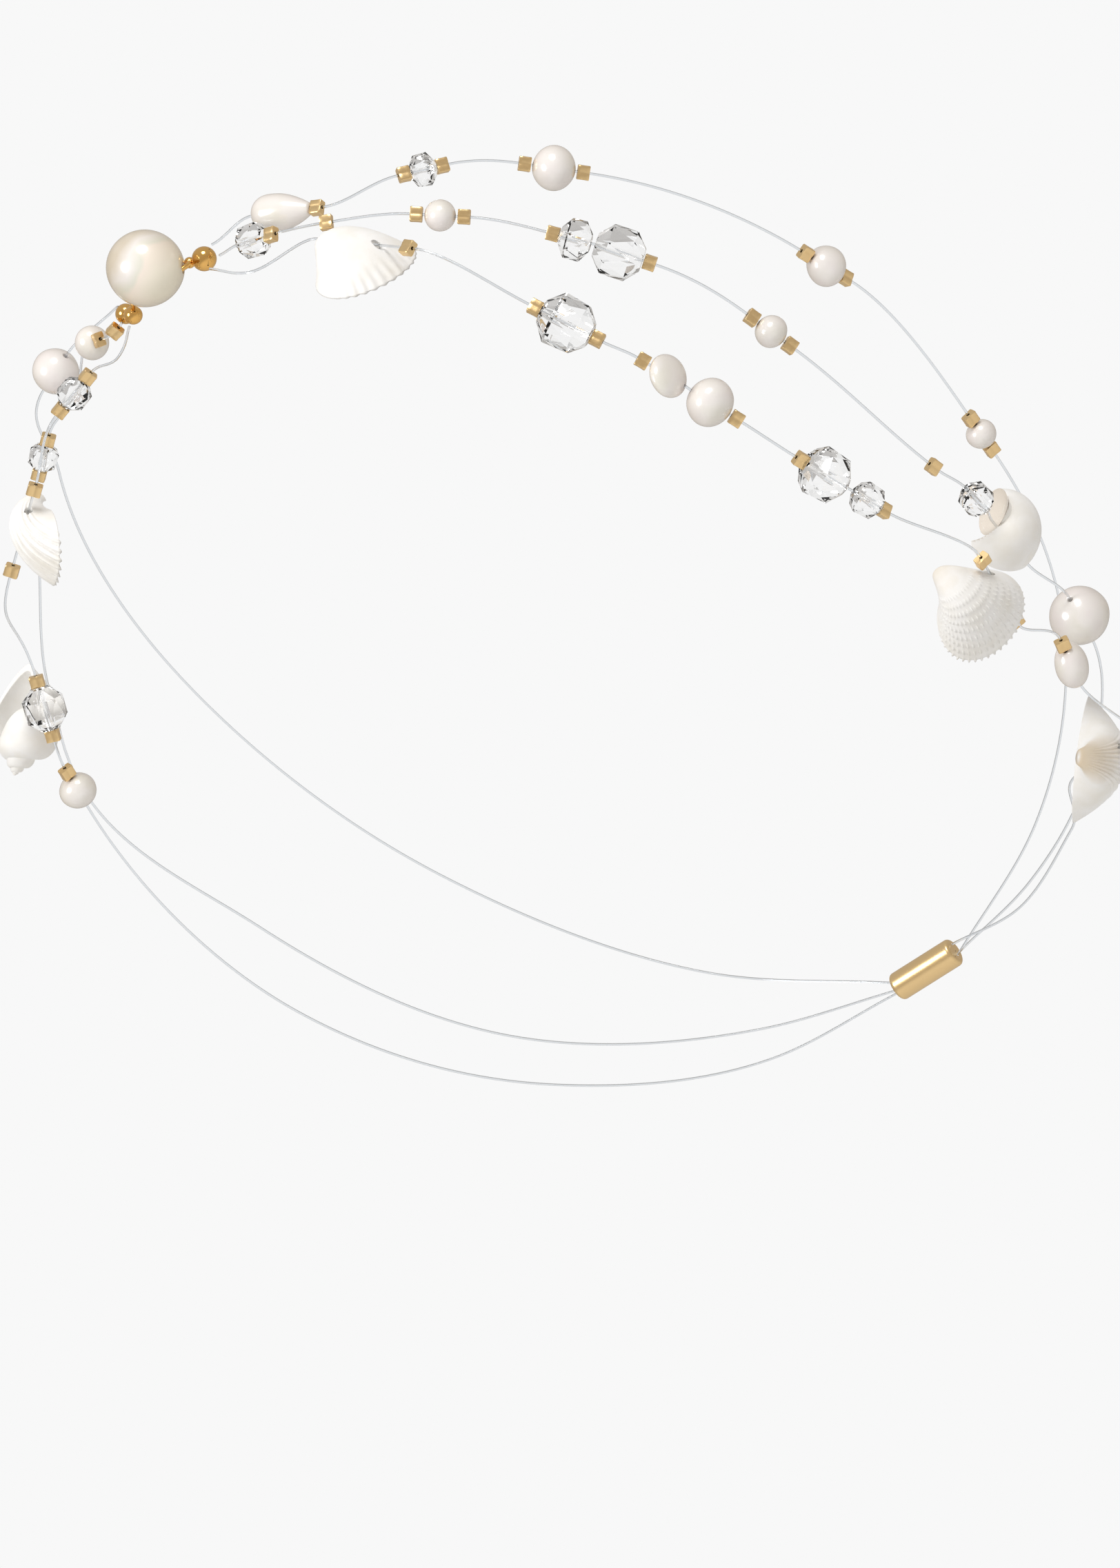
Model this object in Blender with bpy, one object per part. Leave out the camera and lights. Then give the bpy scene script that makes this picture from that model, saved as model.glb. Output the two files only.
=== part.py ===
"""Diadem of pearls, faceted crystals and bleached sea shells on six clear lines.

Metres, +Z up, -Y to the front, +X to the wearer's left. The origin is the middle of the opening.
Every line starts at the gold finding under the large front pearl and ends at the clasp behind.
"""

import math
from collections import namedtuple

import bmesh
import bpy
from mathutils import Matrix, Vector

MM = 0.001

# Egg-shaped form that the lines are curved round: its half sizes and how far it leans back
FORM_HALF = Vector((70.0, 95.5, 88.5)) * MM
FORM_LEAN = math.radians(14.0)

# Nylon line, square crimp tubes and drilled holes
LINE_RADIUS = 0.2 * MM
LINE_SIDES = 6
LINE_STEP = 7.5 * MM
CRIMP_LENGTH = 1.8 * MM
CRIMP_SIDE = 2.2 * MM
CRIMP_WAIST = 2.0 * MM
CRIMP_FLATNESS = 0.64
CRIMP_FACING = Vector((0.4, -0.9, -0.1))
BORE_RADIUS = 0.5 * MM
SHELL_BORE_RADIUS = 0.65 * MM
GAP = 0.3 * MM

# Sides round the turned pieces
PEARL_SIDES = 14
PEARL_RINGS = 8
CRYSTAL_SIDES = 8

# Front finding: a wire through the lower part of the large pearl, with soldered balls on both sides
PEARL_DIAMETER = 11.5 * MM
WIRE_RADIUS = 0.4 * MM
WIRE_DEPTH = 3.2 * MM
WIRE_CLEAR = 0.9 * MM

# Clasp at the back
CLASP_RADIUS = 2.4 * MM
CLASP_LENGTH = 12.0 * MM
CLASP_END_RADIUS = 1.7 * MM

Place = namedtuple("Place", "azimuth height lift")
Stop = namedtuple("Stop", "name kind azimuth height lift along across crimps aslant climb", defaults=(0.0, 0.0))
Shell = namedtuple("Shell", "length width rise ribs knobs turn tip lean forward sideways outward")
Spiral = namedtuple("Spiral", "tube offset drop shoulder canal growth whorls turn tip lean forward sideways outward")

FRONT_PEARL = Place(-1.0, 71.0, 7.0)
BALL_LEFT = Place(6.0, 72.0, 2.2)
BALL_SPACER = Place(3.5, 72.5, 2.6)
BALL_RIGHT = Place(-12.0, 73.0, 2.0)
BALL_RIGHT_INNER = Place(-9.0, 71.5, 2.0)
BALL_SIZES = {"left": 3.7 * MM, "spacer": 1.7 * MM, "right": 3.1 * MM, "inner": 2.8 * MM}
CLASP = Place(180.0, -62.5, 3.0)

# Stops along each line from front to back: azimuth in degrees from the front, height and lift in mm,
# then the bead's size along and across the line in mm, where its crimp tubes sit, and how many degrees the line
# is turned aslant on the form and off it there
LINES = {
    "line_left_top": [
        Stop("drop_pearl", "drop", 20.0, 71.0, 3.0, 9.8, 5.8, "after", -32.0),
        Stop("crystal_small", "crystal", 42.5, 66.5, 3.0, 3.6, 5.4, "both", 10.0),
        Stop("pearl_oval", "pearl", 59.5, 57.5, 3.5, 6.4, 6.8, "both", -8.0),
        Stop("pearl_side", "pearl", 90.5, 28.5, 3.2, 6.0, 6.6, "both", 11.0),
        Stop("pearl_limb", "pearl", 106.5, -2.5, 1.8, 4.4, 4.7, "both", 4.0),
        Stop("", "way", 134.0, -36.0, 1.5, 0.0, 0.0, ""),
        Stop("", "way", 155.0, -54.0, 1.5, 0.0, 0.0, ""),
    ],
    "line_left_middle": [
        Stop("crystal_front", "crystal", 14.5, 69.0, 3.0, 4.8, 5.5, "after", -5.0),
        Stop("", "crimp", 24.5, 64.8, 3.4, 0.0, 0.0, ""),
        Stop("pearl_round", "pearl", 38.0, 58.0, 2.5, 4.6, 4.7, "both", -1.0),
        Stop("crystal_pair_small", "crystal", 49.5, 44.5, 3.5, 4.4, 6.6, "before"),
        Stop("crystal_pair_large", "crystal", 52.5, 39.5, 4.2, 7.0, 8.3, "after"),
        Stop("pearl_little", "pearl", 65.5, 20.5, 2.5, 4.6, 4.9, "both", -7.0),
        Stop("", "crimp", 80.5, -6.5, 2.0, 0.0, 0.0, ""),
        Stop("crystal_low", "crystal", 86.0, -13.0, 3.0, 4.8, 5.3, "none", -3.0),
        Stop("shell_moon", "spiral", 91.9, -20.1, 2.6, 10.6, 10.0, "none"),
        Stop("pearl_potato", "pearl", 106.0, -32.5, 5.5, 8.6, 9.3, "none"),
        Stop("", "way", 133.0, -52.0, 3.0, 0.0, 0.0, ""),
        Stop("", "way", 157.0, -61.0, 1.8, 0.0, 0.0, ""),
    ],
    "line_left_bottom": [
        Stop("", "way", 12.5, 66.5, 0.8, 0.0, 0.0, ""),
        Stop("", "way", 22.6, 65.4, 1.2, 0.0, 0.0, "", -26.0),
        Stop("shell_cockle_front", "cockle", 27.5, 58.0, 3.2, 13.0, 10.0, "after", -2.1, 6.4),
        Stop("crystal_large", "crystal", 39.5, 32.5, 4.2, 7.6, 8.6, "both", -2.0),
        Stop("pearl_coin", "pearl", 46.0, 19.5, 3.6, 6.0, 7.4, "before"),
        Stop("pearl_full", "pearl", 48.5, 13.5, 3.6, 6.6, 7.2, "after"),
        Stop("crystal_twin_large", "crystal", 56.5, -2.5, 4.1, 6.8, 8.2, "before"),
        Stop("crystal_twin_small", "crystal", 61.5, -8.0, 3.3, 4.6, 5.4, "after"),
        Stop("shell_knobbed", "cockle", 77.5, -26.5, 5.2, 14.4, 10.0, "both", 0.0, -16.0),
        Stop("pearl_tall", "pearl", 95.0, -39.0, 5.5, 6.3, 5.6, "before", -14.0),
        Stop("shell_cockle_large", "cockle", 112.5, -51.5, 5.2, 13.6, 10.0, "before", 8.0, -32.0),
        Stop("", "way", 138.0, -58.5, 1.6, 0.0, 0.0, ""),
        Stop("", "way", 158.0, -64.0, 1.2, 0.0, 0.0, ""),
    ],
    "line_right_bottom": [
        Stop("", "way", -12.5, 68.0, 0.9, 0.0, 0.0, ""),
        Stop("crystal_right_first", "crystal", -22.5, 66.5, 2.7, 4.6, 5.2, "both"),
        Stop("shell_cockle_right", "cockle", -31.5, 52.0, 5.0, 11.6, 10.0, "both", -14.0),
        Stop("crystal_right_large", "crystal", -60.0, 34.0, 4.0, 6.4, 7.0, "both", 13.0),
        Stop("pearl_right_low", "pearl", -65.0, 22.0, 3.5, 5.4, 5.8, "before", -15.0),
        Stop("", "way", -93.0, -20.5, 2.5, 0.0, 0.0, ""),
        Stop("", "way", -124.0, -49.0, 2.0, 0.0, 0.0, ""),
        Stop("", "way", -155.0, -63.0, 1.8, 0.0, 0.0, ""),
    ],
    "line_right_middle": [
        Stop("", "crimp", -14.0, 71.5, 2.0, 0.0, 0.0, ""),
        Stop("pearl_right_first", "pearl", -20.5, 72.0, 3.0, 4.6, 5.2, "before", -20.0),
        Stop("", "way", -33.5, 70.0, 0.9, 0.0, 0.0, ""),
        Stop("crystal_right_small", "crystal", -48.0, 65.0, 3.2, 4.2, 4.8, "both", -3.0),
        Stop("", "way", -57.5, 51.5, 2.6, 0.0, 0.0, ""),
        Stop("shell_spire", "spiral", -66.8, 33.9, 4.4, 8.0, 10.0, "none", 6.0),
        Stop("", "way", -98.5, -5.5, 2.5, 0.0, 0.0, ""),
        Stop("", "way", -128.0, -41.0, 2.0, 0.0, 0.0, ""),
        Stop("", "way", -156.0, -58.0, 1.5, 0.0, 0.0, ""),
    ],
    "line_right_top": [
        Stop("", "way", -22.0, 76.5, 2.0, 0.0, 0.0, ""),
        Stop("pearl_right_pink", "pearl", -35.5, 72.0, 5.0, 6.8, 7.2, "none"),
        Stop("", "way", -65.0, 65.0, 3.0, 0.0, 0.0, ""),
        Stop("", "way", -107.5, 34.0, 2.5, 0.0, 0.0, ""),
        Stop("", "way", -133.0, -9.5, 2.5, 0.0, 0.0, ""),
        Stop("", "way", -154.0, -45.0, 1.5, 0.0, 0.0, ""),
    ],
}

# Where each line leaves the gold balls and enters the clasp, as shares of a turn
LEAVES = {"line_left_top": 0.2, "line_left_middle": -0.12, "line_left_bottom": -0.42,
          "line_right_top": 0.3, "line_right_middle": 0.0, "line_right_bottom": -0.3}
LEAVE_SPREAD = 1.2 * MM

# Pearls that aren't plain: their stretch three ways, how many degrees they are skewed off the form and on it,
# and their taper
Baroque = namedtuple("Baroque", "stretch skew spin taper")
BAROQUE = {
    "pearl_coin": Baroque((1.0, 1.0, 0.46), 12.0, 0.0, 0.0),
    "pearl_tall": Baroque((1.2, 0.9, 0.9), 0.0, -42.0, 0.0),
    "pearl_side": Baroque((1.0, 1.0, 0.91), 0.0, 0.0, 0.12),
}
PLAIN = Baroque((1.0, 1.0, 1.0), 0.0, 0.0, 0.0)

# Ribbed half shells, in mm: beak to rim, width, rise, count of ribs, knob height, turn and tilts in degrees,
# and the offset of the middle from its stop
HALF_SHELLS = {
    "shell_cockle_front": Shell(16.2, 18.0, 4.9, 13, 0.0, -12.0, 7.0, 0.0, -1.7, -1.9, -3.3),
    "shell_knobbed": Shell(15.2, 16.2, 6.0, 12, 0.3, -32.0, 21.0, 47.0, -2.6, -2.8, -3.4),
    "shell_cockle_right": Shell(14.2, 13.2, 6.0, 13, 0.0, 49.0, -10.0, 0.0, 0.6, 0.3, -4.3),
    "shell_cockle_large": Shell(17.0, 22.0, 7.0, 16, 0.0, 20.0, 0.0, 9.0, 0.0, 0.1, -3.5),
}
SHELL_WALL = 0.9 * MM
RIB_DEPTH = 0.2 * MM

# Growth of a half shell: how fast its rim shrinks per radian as it swings up, how far round the beak and the
# hollow end, how far the beak stands behind the hinge, how near the hinge both walls come, and the height
# that this gives
VALVE_CURL = 0.8
BEAK_TURN = 2.6
HOLLOW_TURN = 1.35
BEAK_SHARE = 0.107
HINGE_SHARE = 0.12
HOLLOW_HINGE_SHARE = 0.26
HINGE_NARROWING = 0.22
VALVE_RISE = 0.381
VALVE_ROWS = 6

# Coiled shells at their mouth, in mm: radius of the tube, its distance from the axis and below the tip, its
# stretch towards the tip and away from it, growth in a whorl, count of whorls, turn and tilts in degrees, and
# the offset of the middle from its stop
COILED_SHELLS = {
    "shell_moon": Spiral(4.2, 3.3, 7.4, 1.3, 1.3, 2.6, 3.2, -84.0, -7.1, 71.4, -0.5, 3.08, -0.67),
    "shell_spire": Spiral(3.4, 3.5, 8.8, 1.25, 2.8, 2.1, 5.0, -113.6, 59.3, -31.2, -0.5, 1.6, 3.8),
}
COIL_COLUMNS = 16
COIL_ROWS = 16
TIP_RADIUS = 0.25 * MM


def clear_scene():
    for item in list(bpy.data.objects):
        bpy.data.objects.remove(item, do_unlink=True)


def make_material(name, colour, metallic, roughness, transmission=0.0):
    material = bpy.data.materials.new(name)
    material.use_nodes = True
    shader = material.node_tree.nodes["Principled BSDF"]
    shader.inputs["Base Color"].default_value = (*colour, 1.0)
    shader.inputs["Metallic"].default_value = metallic
    shader.inputs["Roughness"].default_value = roughness
    shader.inputs["Transmission Weight"].default_value = transmission
    return material


def form_frame(azimuth, height):
    """Point of the egg-shaped form at an azimuth and height, and the way out from it."""
    turn = math.radians(azimuth)
    lean = Matrix.Rotation(-FORM_LEAN, 3, "X")
    across = lean @ Vector((math.sin(turn), -math.cos(turn), 0.0))
    upward = lean @ Vector((0.0, 0.0, height))
    flat = Vector([across[i] / FORM_HALF[i] for i in range(3)])
    rise = Vector([upward[i] / FORM_HALF[i] for i in range(3)])
    a = flat.dot(flat)
    b = 2.0 * flat.dot(rise)
    c = rise.dot(rise) - 1.0
    reach = (-b + math.sqrt(max(b * b - 4.0 * a * c, 0.0))) / (2.0 * a)
    point = Vector((math.sin(turn) * reach, -math.cos(turn) * reach, height))
    leaned = lean @ point
    out = Vector([leaned[i] / FORM_HALF[i] ** 2 for i in range(3)])
    return point, (lean.transposed() @ out).normalized()


def seat(place):
    """Point at a place on the form, lifted off it, and the way out."""
    point, out = form_frame(place.azimuth, place.height * MM)
    return point + out * place.lift * MM, out


def frame_at(point, along, out):
    """Matrix with X along the line, Z out from the form and Y across."""
    x = along.normalized()
    if abs(x.dot(out)) > 0.99:
        out = Vector((1.0, 0.0, 0.0))
    z = (out - x * out.dot(x)).normalized()
    y = z.cross(x)
    matrix = Matrix((x, y, z)).transposed().to_4x4()
    matrix.translation = point
    return matrix


def ring(radius_y, radius_z, sides, x=0.0, start=0.0):
    points = []
    for i in range(sides):
        turn = 2.0 * math.pi * (i + start) / sides
        points.append(Vector((x, math.cos(turn) * radius_y, math.sin(turn) * radius_z)))
    return points


def middle_of(corners):
    return sum((corner.co for corner in corners), Vector()) / len(corners)


def turned_to(first, second):
    """Second ring started at the corner that points most like the first ring's first corner."""
    way = first[0].co - middle_of(first)
    middle = middle_of(second)
    best = max(range(len(second)), key=lambda i: (second[i].co - middle).normalized().dot(way))
    return second[best:] + second[:best]


def join_rings(mesh, first, second):
    """Fills between two rings, whose counts of corners may differ."""
    second = turned_to(first, second)
    count_a = len(first)
    count_b = len(second)
    i = 0
    j = 0
    while i < count_a or j < count_b:
        a = first[i % count_a]
        b = second[j % count_b]
        if count_a == count_b:
            mesh.faces.new((a, first[(i + 1) % count_a], second[(j + 1) % count_b], b))
            i += 1
            j += 1
        elif j == count_b or (i < count_a and (i + 1) * count_b <= (j + 1) * count_a):
            mesh.faces.new((a, first[(i + 1) % count_a], b))
            i += 1
        else:
            mesh.faces.new((a, second[(j + 1) % count_b], b))
            j += 1


def loft(name, rings, closed):
    """Solid through rings of points, its ends capped or, when closed, joined to each other."""
    mesh = bmesh.new()
    made = [[mesh.verts.new(point) for point in points] for points in rings]
    for first, second in zip(made, made[1:]):
        join_rings(mesh, first, second)
    if closed:
        join_rings(mesh, made[-1], made[0])
    else:
        mesh.faces.new(made[0])
        mesh.faces.new(made[-1])
    bmesh.ops.recalc_face_normals(mesh, faces=mesh.faces)
    return add_object(name, mesh)


def add_object(name, mesh):
    data = bpy.data.meshes.new(name)
    mesh.to_mesh(data)
    mesh.free()
    item = bpy.data.objects.new(name, data)
    bpy.context.scene.collection.objects.link(item)
    return item


def finish(item, material, matrix, smooth_angle=None):
    item.data.materials.append(material)
    item.matrix_world = matrix
    if smooth_angle is not None:
        item.data.shade_smooth()
        item.data.set_sharp_from_angle(angle=math.radians(smooth_angle))
    return item


def hide_cutter(item):
    item.hide_render = True
    item.display_type = "WIRE"


def boolean(item, other, operation):
    modifier = item.modifiers.new(operation.title(), "BOOLEAN")
    modifier.operation = operation
    modifier.solver = "EXACT"
    modifier.object = other
    hide_cutter(other)


def drilled_ball(name, along, across, bore, rings, sides, taper=0.0):
    """Ball or oval about X with a straight hole through it."""
    half = along / 2.0
    edge = math.asin(2.0 * bore / across)
    profile = []
    for i in range(rings + 1):
        turn = edge + (math.pi - 2.0 * edge) * i / rings
        x = -math.cos(turn)
        profile.append((x * half, math.sin(turn) * across / 2.0 * (1.0 + taper * x * math.sin(turn))))
    return loft(name, [ring(r, r, sides, x) for x, r in profile], True)


def pearl_shape(name):
    """Matrix that stretches and skews a pearl while its hole stays on the line."""
    baroque = BAROQUE.get(name, PLAIN)
    turn = Matrix.Rotation(math.radians(baroque.spin), 3, "Z") @ Matrix.Rotation(math.radians(baroque.skew), 3, "Y")
    shape = turn @ Matrix.Diagonal(baroque.stretch) @ turn.transposed()
    bore = (shape.inverted() @ Vector((1.0, 0.0, 0.0))).normalized()
    lead = Vector((1.0, 0.0, 0.0)).rotation_difference(bore).to_matrix()
    return (shape @ lead).to_4x4()


def crystal(name, along, across):
    """Round cut stone with a flat table at each end of its hole and three rows of facets."""
    half = along / 2.0
    radius = across / 2.0
    table = 0.42 * radius
    shoulder = 0.86 * radius
    rings = [
        ring(BORE_RADIUS, BORE_RADIUS, CRYSTAL_SIDES, -half),
        ring(table, table, CRYSTAL_SIDES, -half),
        ring(shoulder, shoulder, CRYSTAL_SIDES, -0.55 * half, 0.5),
        ring(radius, radius, CRYSTAL_SIDES, 0.0),
        ring(shoulder, shoulder, CRYSTAL_SIDES, 0.55 * half, 0.5),
        ring(table, table, CRYSTAL_SIDES, half),
        ring(BORE_RADIUS, BORE_RADIUS, CRYSTAL_SIDES, half),
    ]
    return loft(name, rings, True)


def drop(name, along, across):
    """Long pearl, round towards the front and tapering to a blunt tip."""
    widest = 0.3
    tip = 0.9 * MM
    radius = across / 2.0
    profile = []
    for i in range(PEARL_RINGS + 3):
        u = i / (PEARL_RINGS + 2)
        if u < widest:
            r = radius * math.sqrt(max(1.0 - ((widest - u) / widest) ** 2, 0.0))
        else:
            r = tip + (radius - tip) * math.cos(math.pi / 2.0 * ((u - widest) / (1.0 - widest)) ** 1.2)
        profile.append(((u - 0.5) * along, max(r, BORE_RADIUS)))
    profile.append((along / 2.0, BORE_RADIUS))
    return loft(name, [ring(r, r, PEARL_SIDES, x) for x, r in profile], True)


def valve_point(shape, turn, curl, hinge=HINGE_SHARE):
    """Point of a half shell: its rim shrinks towards the beak while it swings up about the hinge."""
    reach = shape.length * MM / (1.0 + BEAK_SHARE)
    fan = 0.5 - 0.5 * math.cos(turn)
    shrink = math.exp(-VALVE_CURL * curl)
    out = reach * (1.0 - (1.0 - hinge) * fan) * shrink
    x = out * math.cos(curl) - reach * (1.0 - BEAK_SHARE) / 2.0
    y = math.sin(turn) * shape.width * MM / 2.0 * (1.0 - HINGE_NARROWING * fan) * shrink
    z = out * math.sin(curl) * shape.rise * MM / (reach * VALVE_RISE)
    return Vector((x, y, z))


def hollow_point(shape, turn, curl):
    """Point of the inner wall, which stays clear of the solid hinge and beak."""
    point = valve_point(shape, turn, curl * HOLLOW_TURN / BEAK_TURN, HOLLOW_HINGE_SHARE)
    slim = 1.0 - 2.0 * SHELL_WALL / (min(shape.length, shape.width) * MM)
    return Vector((point.x * slim, point.y * slim, point.z * (1.0 - SHELL_WALL / (shape.rise * MM))))


def half_shell(name, shape):
    """Ribbed half shell: beak at -X, rim at +X, open underneath."""
    columns = 2 * shape.ribs
    outer = []
    inner = []
    for row in range(VALVE_ROWS, -1, -1):
        curl = BEAK_TURN * row / VALVE_ROWS
        share = 1.0 - row / VALVE_ROWS
        top = []
        for column in range(columns):
            turn = 2.0 * math.pi * column / columns
            fan = 0.5 - 0.5 * math.cos(turn)
            point = valve_point(shape, turn, curl)
            rib = (1.0 if column % 2 else -1.0) * RIB_DEPTH * share * (1.0 - fan ** 2)
            knob = shape.knobs * MM * (row % 2) * (column % 2) * (1.0 - fan ** 2)
            top.append(point + point.normalized() * (rib + knob))
        outer.append(top)
        inner.append([hollow_point(shape, 2.0 * math.pi * column / columns, curl) for column in range(columns)])
    mesh = bmesh.new()
    rings = [[mesh.verts.new(point) for point in points] for points in outer + inner[::-1]]
    crown = mesh.verts.new(middle_of(rings[0]))
    roof = mesh.verts.new(middle_of(rings[-1]))
    for column in range(columns):
        after = (column + 1) % columns
        mesh.faces.new((crown, rings[0][column], rings[0][after]))
        mesh.faces.new((roof, rings[-1][after], rings[-1][column]))
    for first, second in zip(rings, rings[1:]):
        join_rings(mesh, first, second)
    bmesh.ops.recalc_face_normals(mesh, faces=mesh.faces)
    return add_object(name, mesh)


def coil_middle(shape):
    """Height of a coiled shell's tip over its middle."""
    return (shape.drop + shape.tube * shape.canal) * MM / 2.0


def coil_radius(shape, back, depth):
    """Greatest distance from the axis of any whorl, some part of a turn back from the mouth and below the tip."""
    widest = TIP_RADIUS
    for whorl in range(math.ceil(shape.whorls)):
        size = shape.growth ** (-back - whorl)
        below = depth / (size * MM) - shape.drop
        height = below / (shape.tube * (shape.canal if below > 0.0 else shape.shoulder))
        if abs(height) < 1.0:
            reach = shape.offset + shape.tube * math.sqrt(1.0 - height ** 2)
            widest = max(widest, reach * size * MM)
    return widest


def coiled_shell(name, shape):
    """Solid coiled shell about Z, its tip up: the outline of its whorls, with the step of the mouth at +X."""
    tall = 2.0 * coil_middle(shape)
    backs = [column / COIL_COLUMNS for column in range(COIL_COLUMNS)] + [1.0 - 0.3 / COIL_COLUMNS]
    mesh = bmesh.new()
    made = []
    for back in backs:
        angle = 2.0 * math.pi * back
        points = []
        for row in range(1, COIL_ROWS):
            depth = tall * row / COIL_ROWS
            reach = coil_radius(shape, back, depth)
            points.append(mesh.verts.new((math.cos(angle) * reach, math.sin(angle) * reach, tall / 2.0 - depth)))
        made.append(points)
    tip = mesh.verts.new((0.0, 0.0, tall / 2.0))
    base = mesh.verts.new((0.0, 0.0, -tall / 2.0))
    for first, second in zip(made, made[1:] + made[:1]):
        mesh.faces.new((tip, second[0], first[0]))
        mesh.faces.new((base, first[-1], second[-1]))
        for row in range(COIL_ROWS - 2):
            mesh.faces.new((first[row], second[row], second[row + 1], first[row + 1]))
    bmesh.ops.recalc_face_normals(mesh, faces=mesh.faces)
    return add_object(name, mesh)


def shell_matrix(matrix, shape):
    """Turns a shell about the way out, tilts it and shifts it from its stop."""
    turn = Matrix.Rotation(math.radians(shape.turn), 4, "Z")
    tip = Matrix.Rotation(math.radians(-shape.tip), 4, "Y")
    lean = Matrix.Rotation(math.radians(shape.lean), 4, "X")
    shift = Matrix.Translation(Vector((shape.forward, shape.sideways, shape.outward)) * MM)
    return matrix @ shift @ turn @ tip @ lean


def drill(item, matrix, reach, radius):
    """Straight hole along the line through a shell."""
    cutter = loft(item.name + "_drill", [ring(radius, radius, 8, -reach), ring(radius, radius, 8, reach)], False)
    cutter.matrix_world = matrix
    boolean(item, cutter, "DIFFERENCE")


class Route:
    """Line from the front finding to the clasp, straight inside each bead and curved between them."""

    def __init__(self, start, stops, end):
        knots = [start] + [seat(Place(stop.azimuth, stop.height, stop.lift))[0] for stop in stops] + [end]
        self.stops = stops
        self.knots = knots
        self.ways = []
        for i, knot in enumerate(knots):
            before = knots[max(i - 1, 0)]
            after = knots[min(i + 1, len(knots) - 1)]
            back = (knot - before).length
            ahead = (after - knot).length
            if back and ahead:
                way = (knot - before) / back * ahead + (after - knot) / ahead * back
            else:
                way = after - before
            if 0 < i < len(knots) - 1:
                out = outward(knot)
                way = Matrix.Rotation(math.radians(stops[i - 1].aslant), 3, out) @ way
                way = Matrix.Rotation(math.radians(stops[i - 1].climb), 3, way.cross(out)) @ way
            self.ways.append(way.normalized())
        self.build_samples()

    def straight(self, index, side):
        """Length of line kept straight before or after a stop."""
        if index == 0 or index == len(self.knots) - 1:
            return 0.0
        stop = self.stops[index - 1]
        if stop.kind == "way":
            return 0.0
        if stop.kind == "crimp":
            return CRIMP_LENGTH / 2.0
        crimp = CRIMP_LENGTH if stop.crimps in (side, "both") else 0.0
        return stop.along * MM / 2.0 + GAP + crimp

    def build_samples(self):
        self.points = []
        self.marks = []
        steps = 24
        for i in range(len(self.knots) - 1):
            gap = (self.knots[i + 1] - self.knots[i]).length
            near = self.straight(i, "after")
            far = self.straight(i + 1, "before")
            squeeze = min(1.0, 0.96 * gap / max(near + far, gap * 0.01))
            near *= squeeze
            far *= squeeze
            first = self.knots[i] + self.ways[i] * near
            last = self.knots[i + 1] - self.ways[i + 1] * far
            pull = (last - first).length
            self.marks.append(len(self.points))
            if near or i == 0:
                self.points.append(self.knots[i])
            for k in range(steps + 1):
                u = k / steps
                point = first * (2 * u ** 3 - 3 * u ** 2 + 1) + last * (3 * u ** 2 - 2 * u ** 3)
                point += self.ways[i] * pull * (u ** 3 - 2 * u ** 2 + u)
                point += self.ways[i + 1] * pull * (u ** 3 - u ** 2)
                if not self.points or (point - self.points[-1]).length > 0.02 * MM:
                    self.points.append(point)
        self.points.append(self.knots[-1])
        self.reach = [0.0]
        for first, second in zip(self.points, self.points[1:]):
            self.reach.append(self.reach[-1] + (second - first).length)
        self.at = []
        for knot in self.knots:
            gaps = [(point - knot).length for point in self.points]
            self.at.append(self.reach[gaps.index(min(gaps))])

    def sample(self, distance):
        """Point and direction at a distance along the line."""
        distance = min(max(distance, 0.0), self.reach[-1])
        i = 0
        while i < len(self.reach) - 2 and self.reach[i + 1] < distance:
            i += 1
        span = self.reach[i + 1] - self.reach[i]
        way = (self.points[i + 1] - self.points[i]).normalized()
        share = (distance - self.reach[i]) / span if span else 0.0
        return self.points[i].lerp(self.points[i + 1], share), way

    def frame(self, distance):
        point, way = self.sample(distance)
        return frame_at(point, way, outward(point))


def outward(point):
    """Way out from the form at any point near it."""
    lean = Matrix.Rotation(-FORM_LEAN, 3, "X")
    leaned = lean @ point
    out = Vector([leaned[i] / FORM_HALF[i] ** 2 for i in range(3)])
    return (lean.transposed() @ out).normalized()


def crimp_places(route):
    """Distances of the middles of all crimp tubes on a line."""
    places = []
    for index, stop in enumerate(route.stops):
        middle = route.at[index + 1]
        reach = stop.along * MM / 2.0 + GAP + CRIMP_LENGTH / 2.0
        if stop.kind == "crimp":
            places.append(middle)
        if stop.crimps in ("before", "both"):
            places.append(middle - reach)
        if stop.crimps in ("after", "both"):
            places.append(middle + reach)
    return sorted(places)


def crimp_roll(number):
    """Each tube sits turned a little differently about the line."""
    return math.radians((number * 47) % 40 - 20.0)


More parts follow.
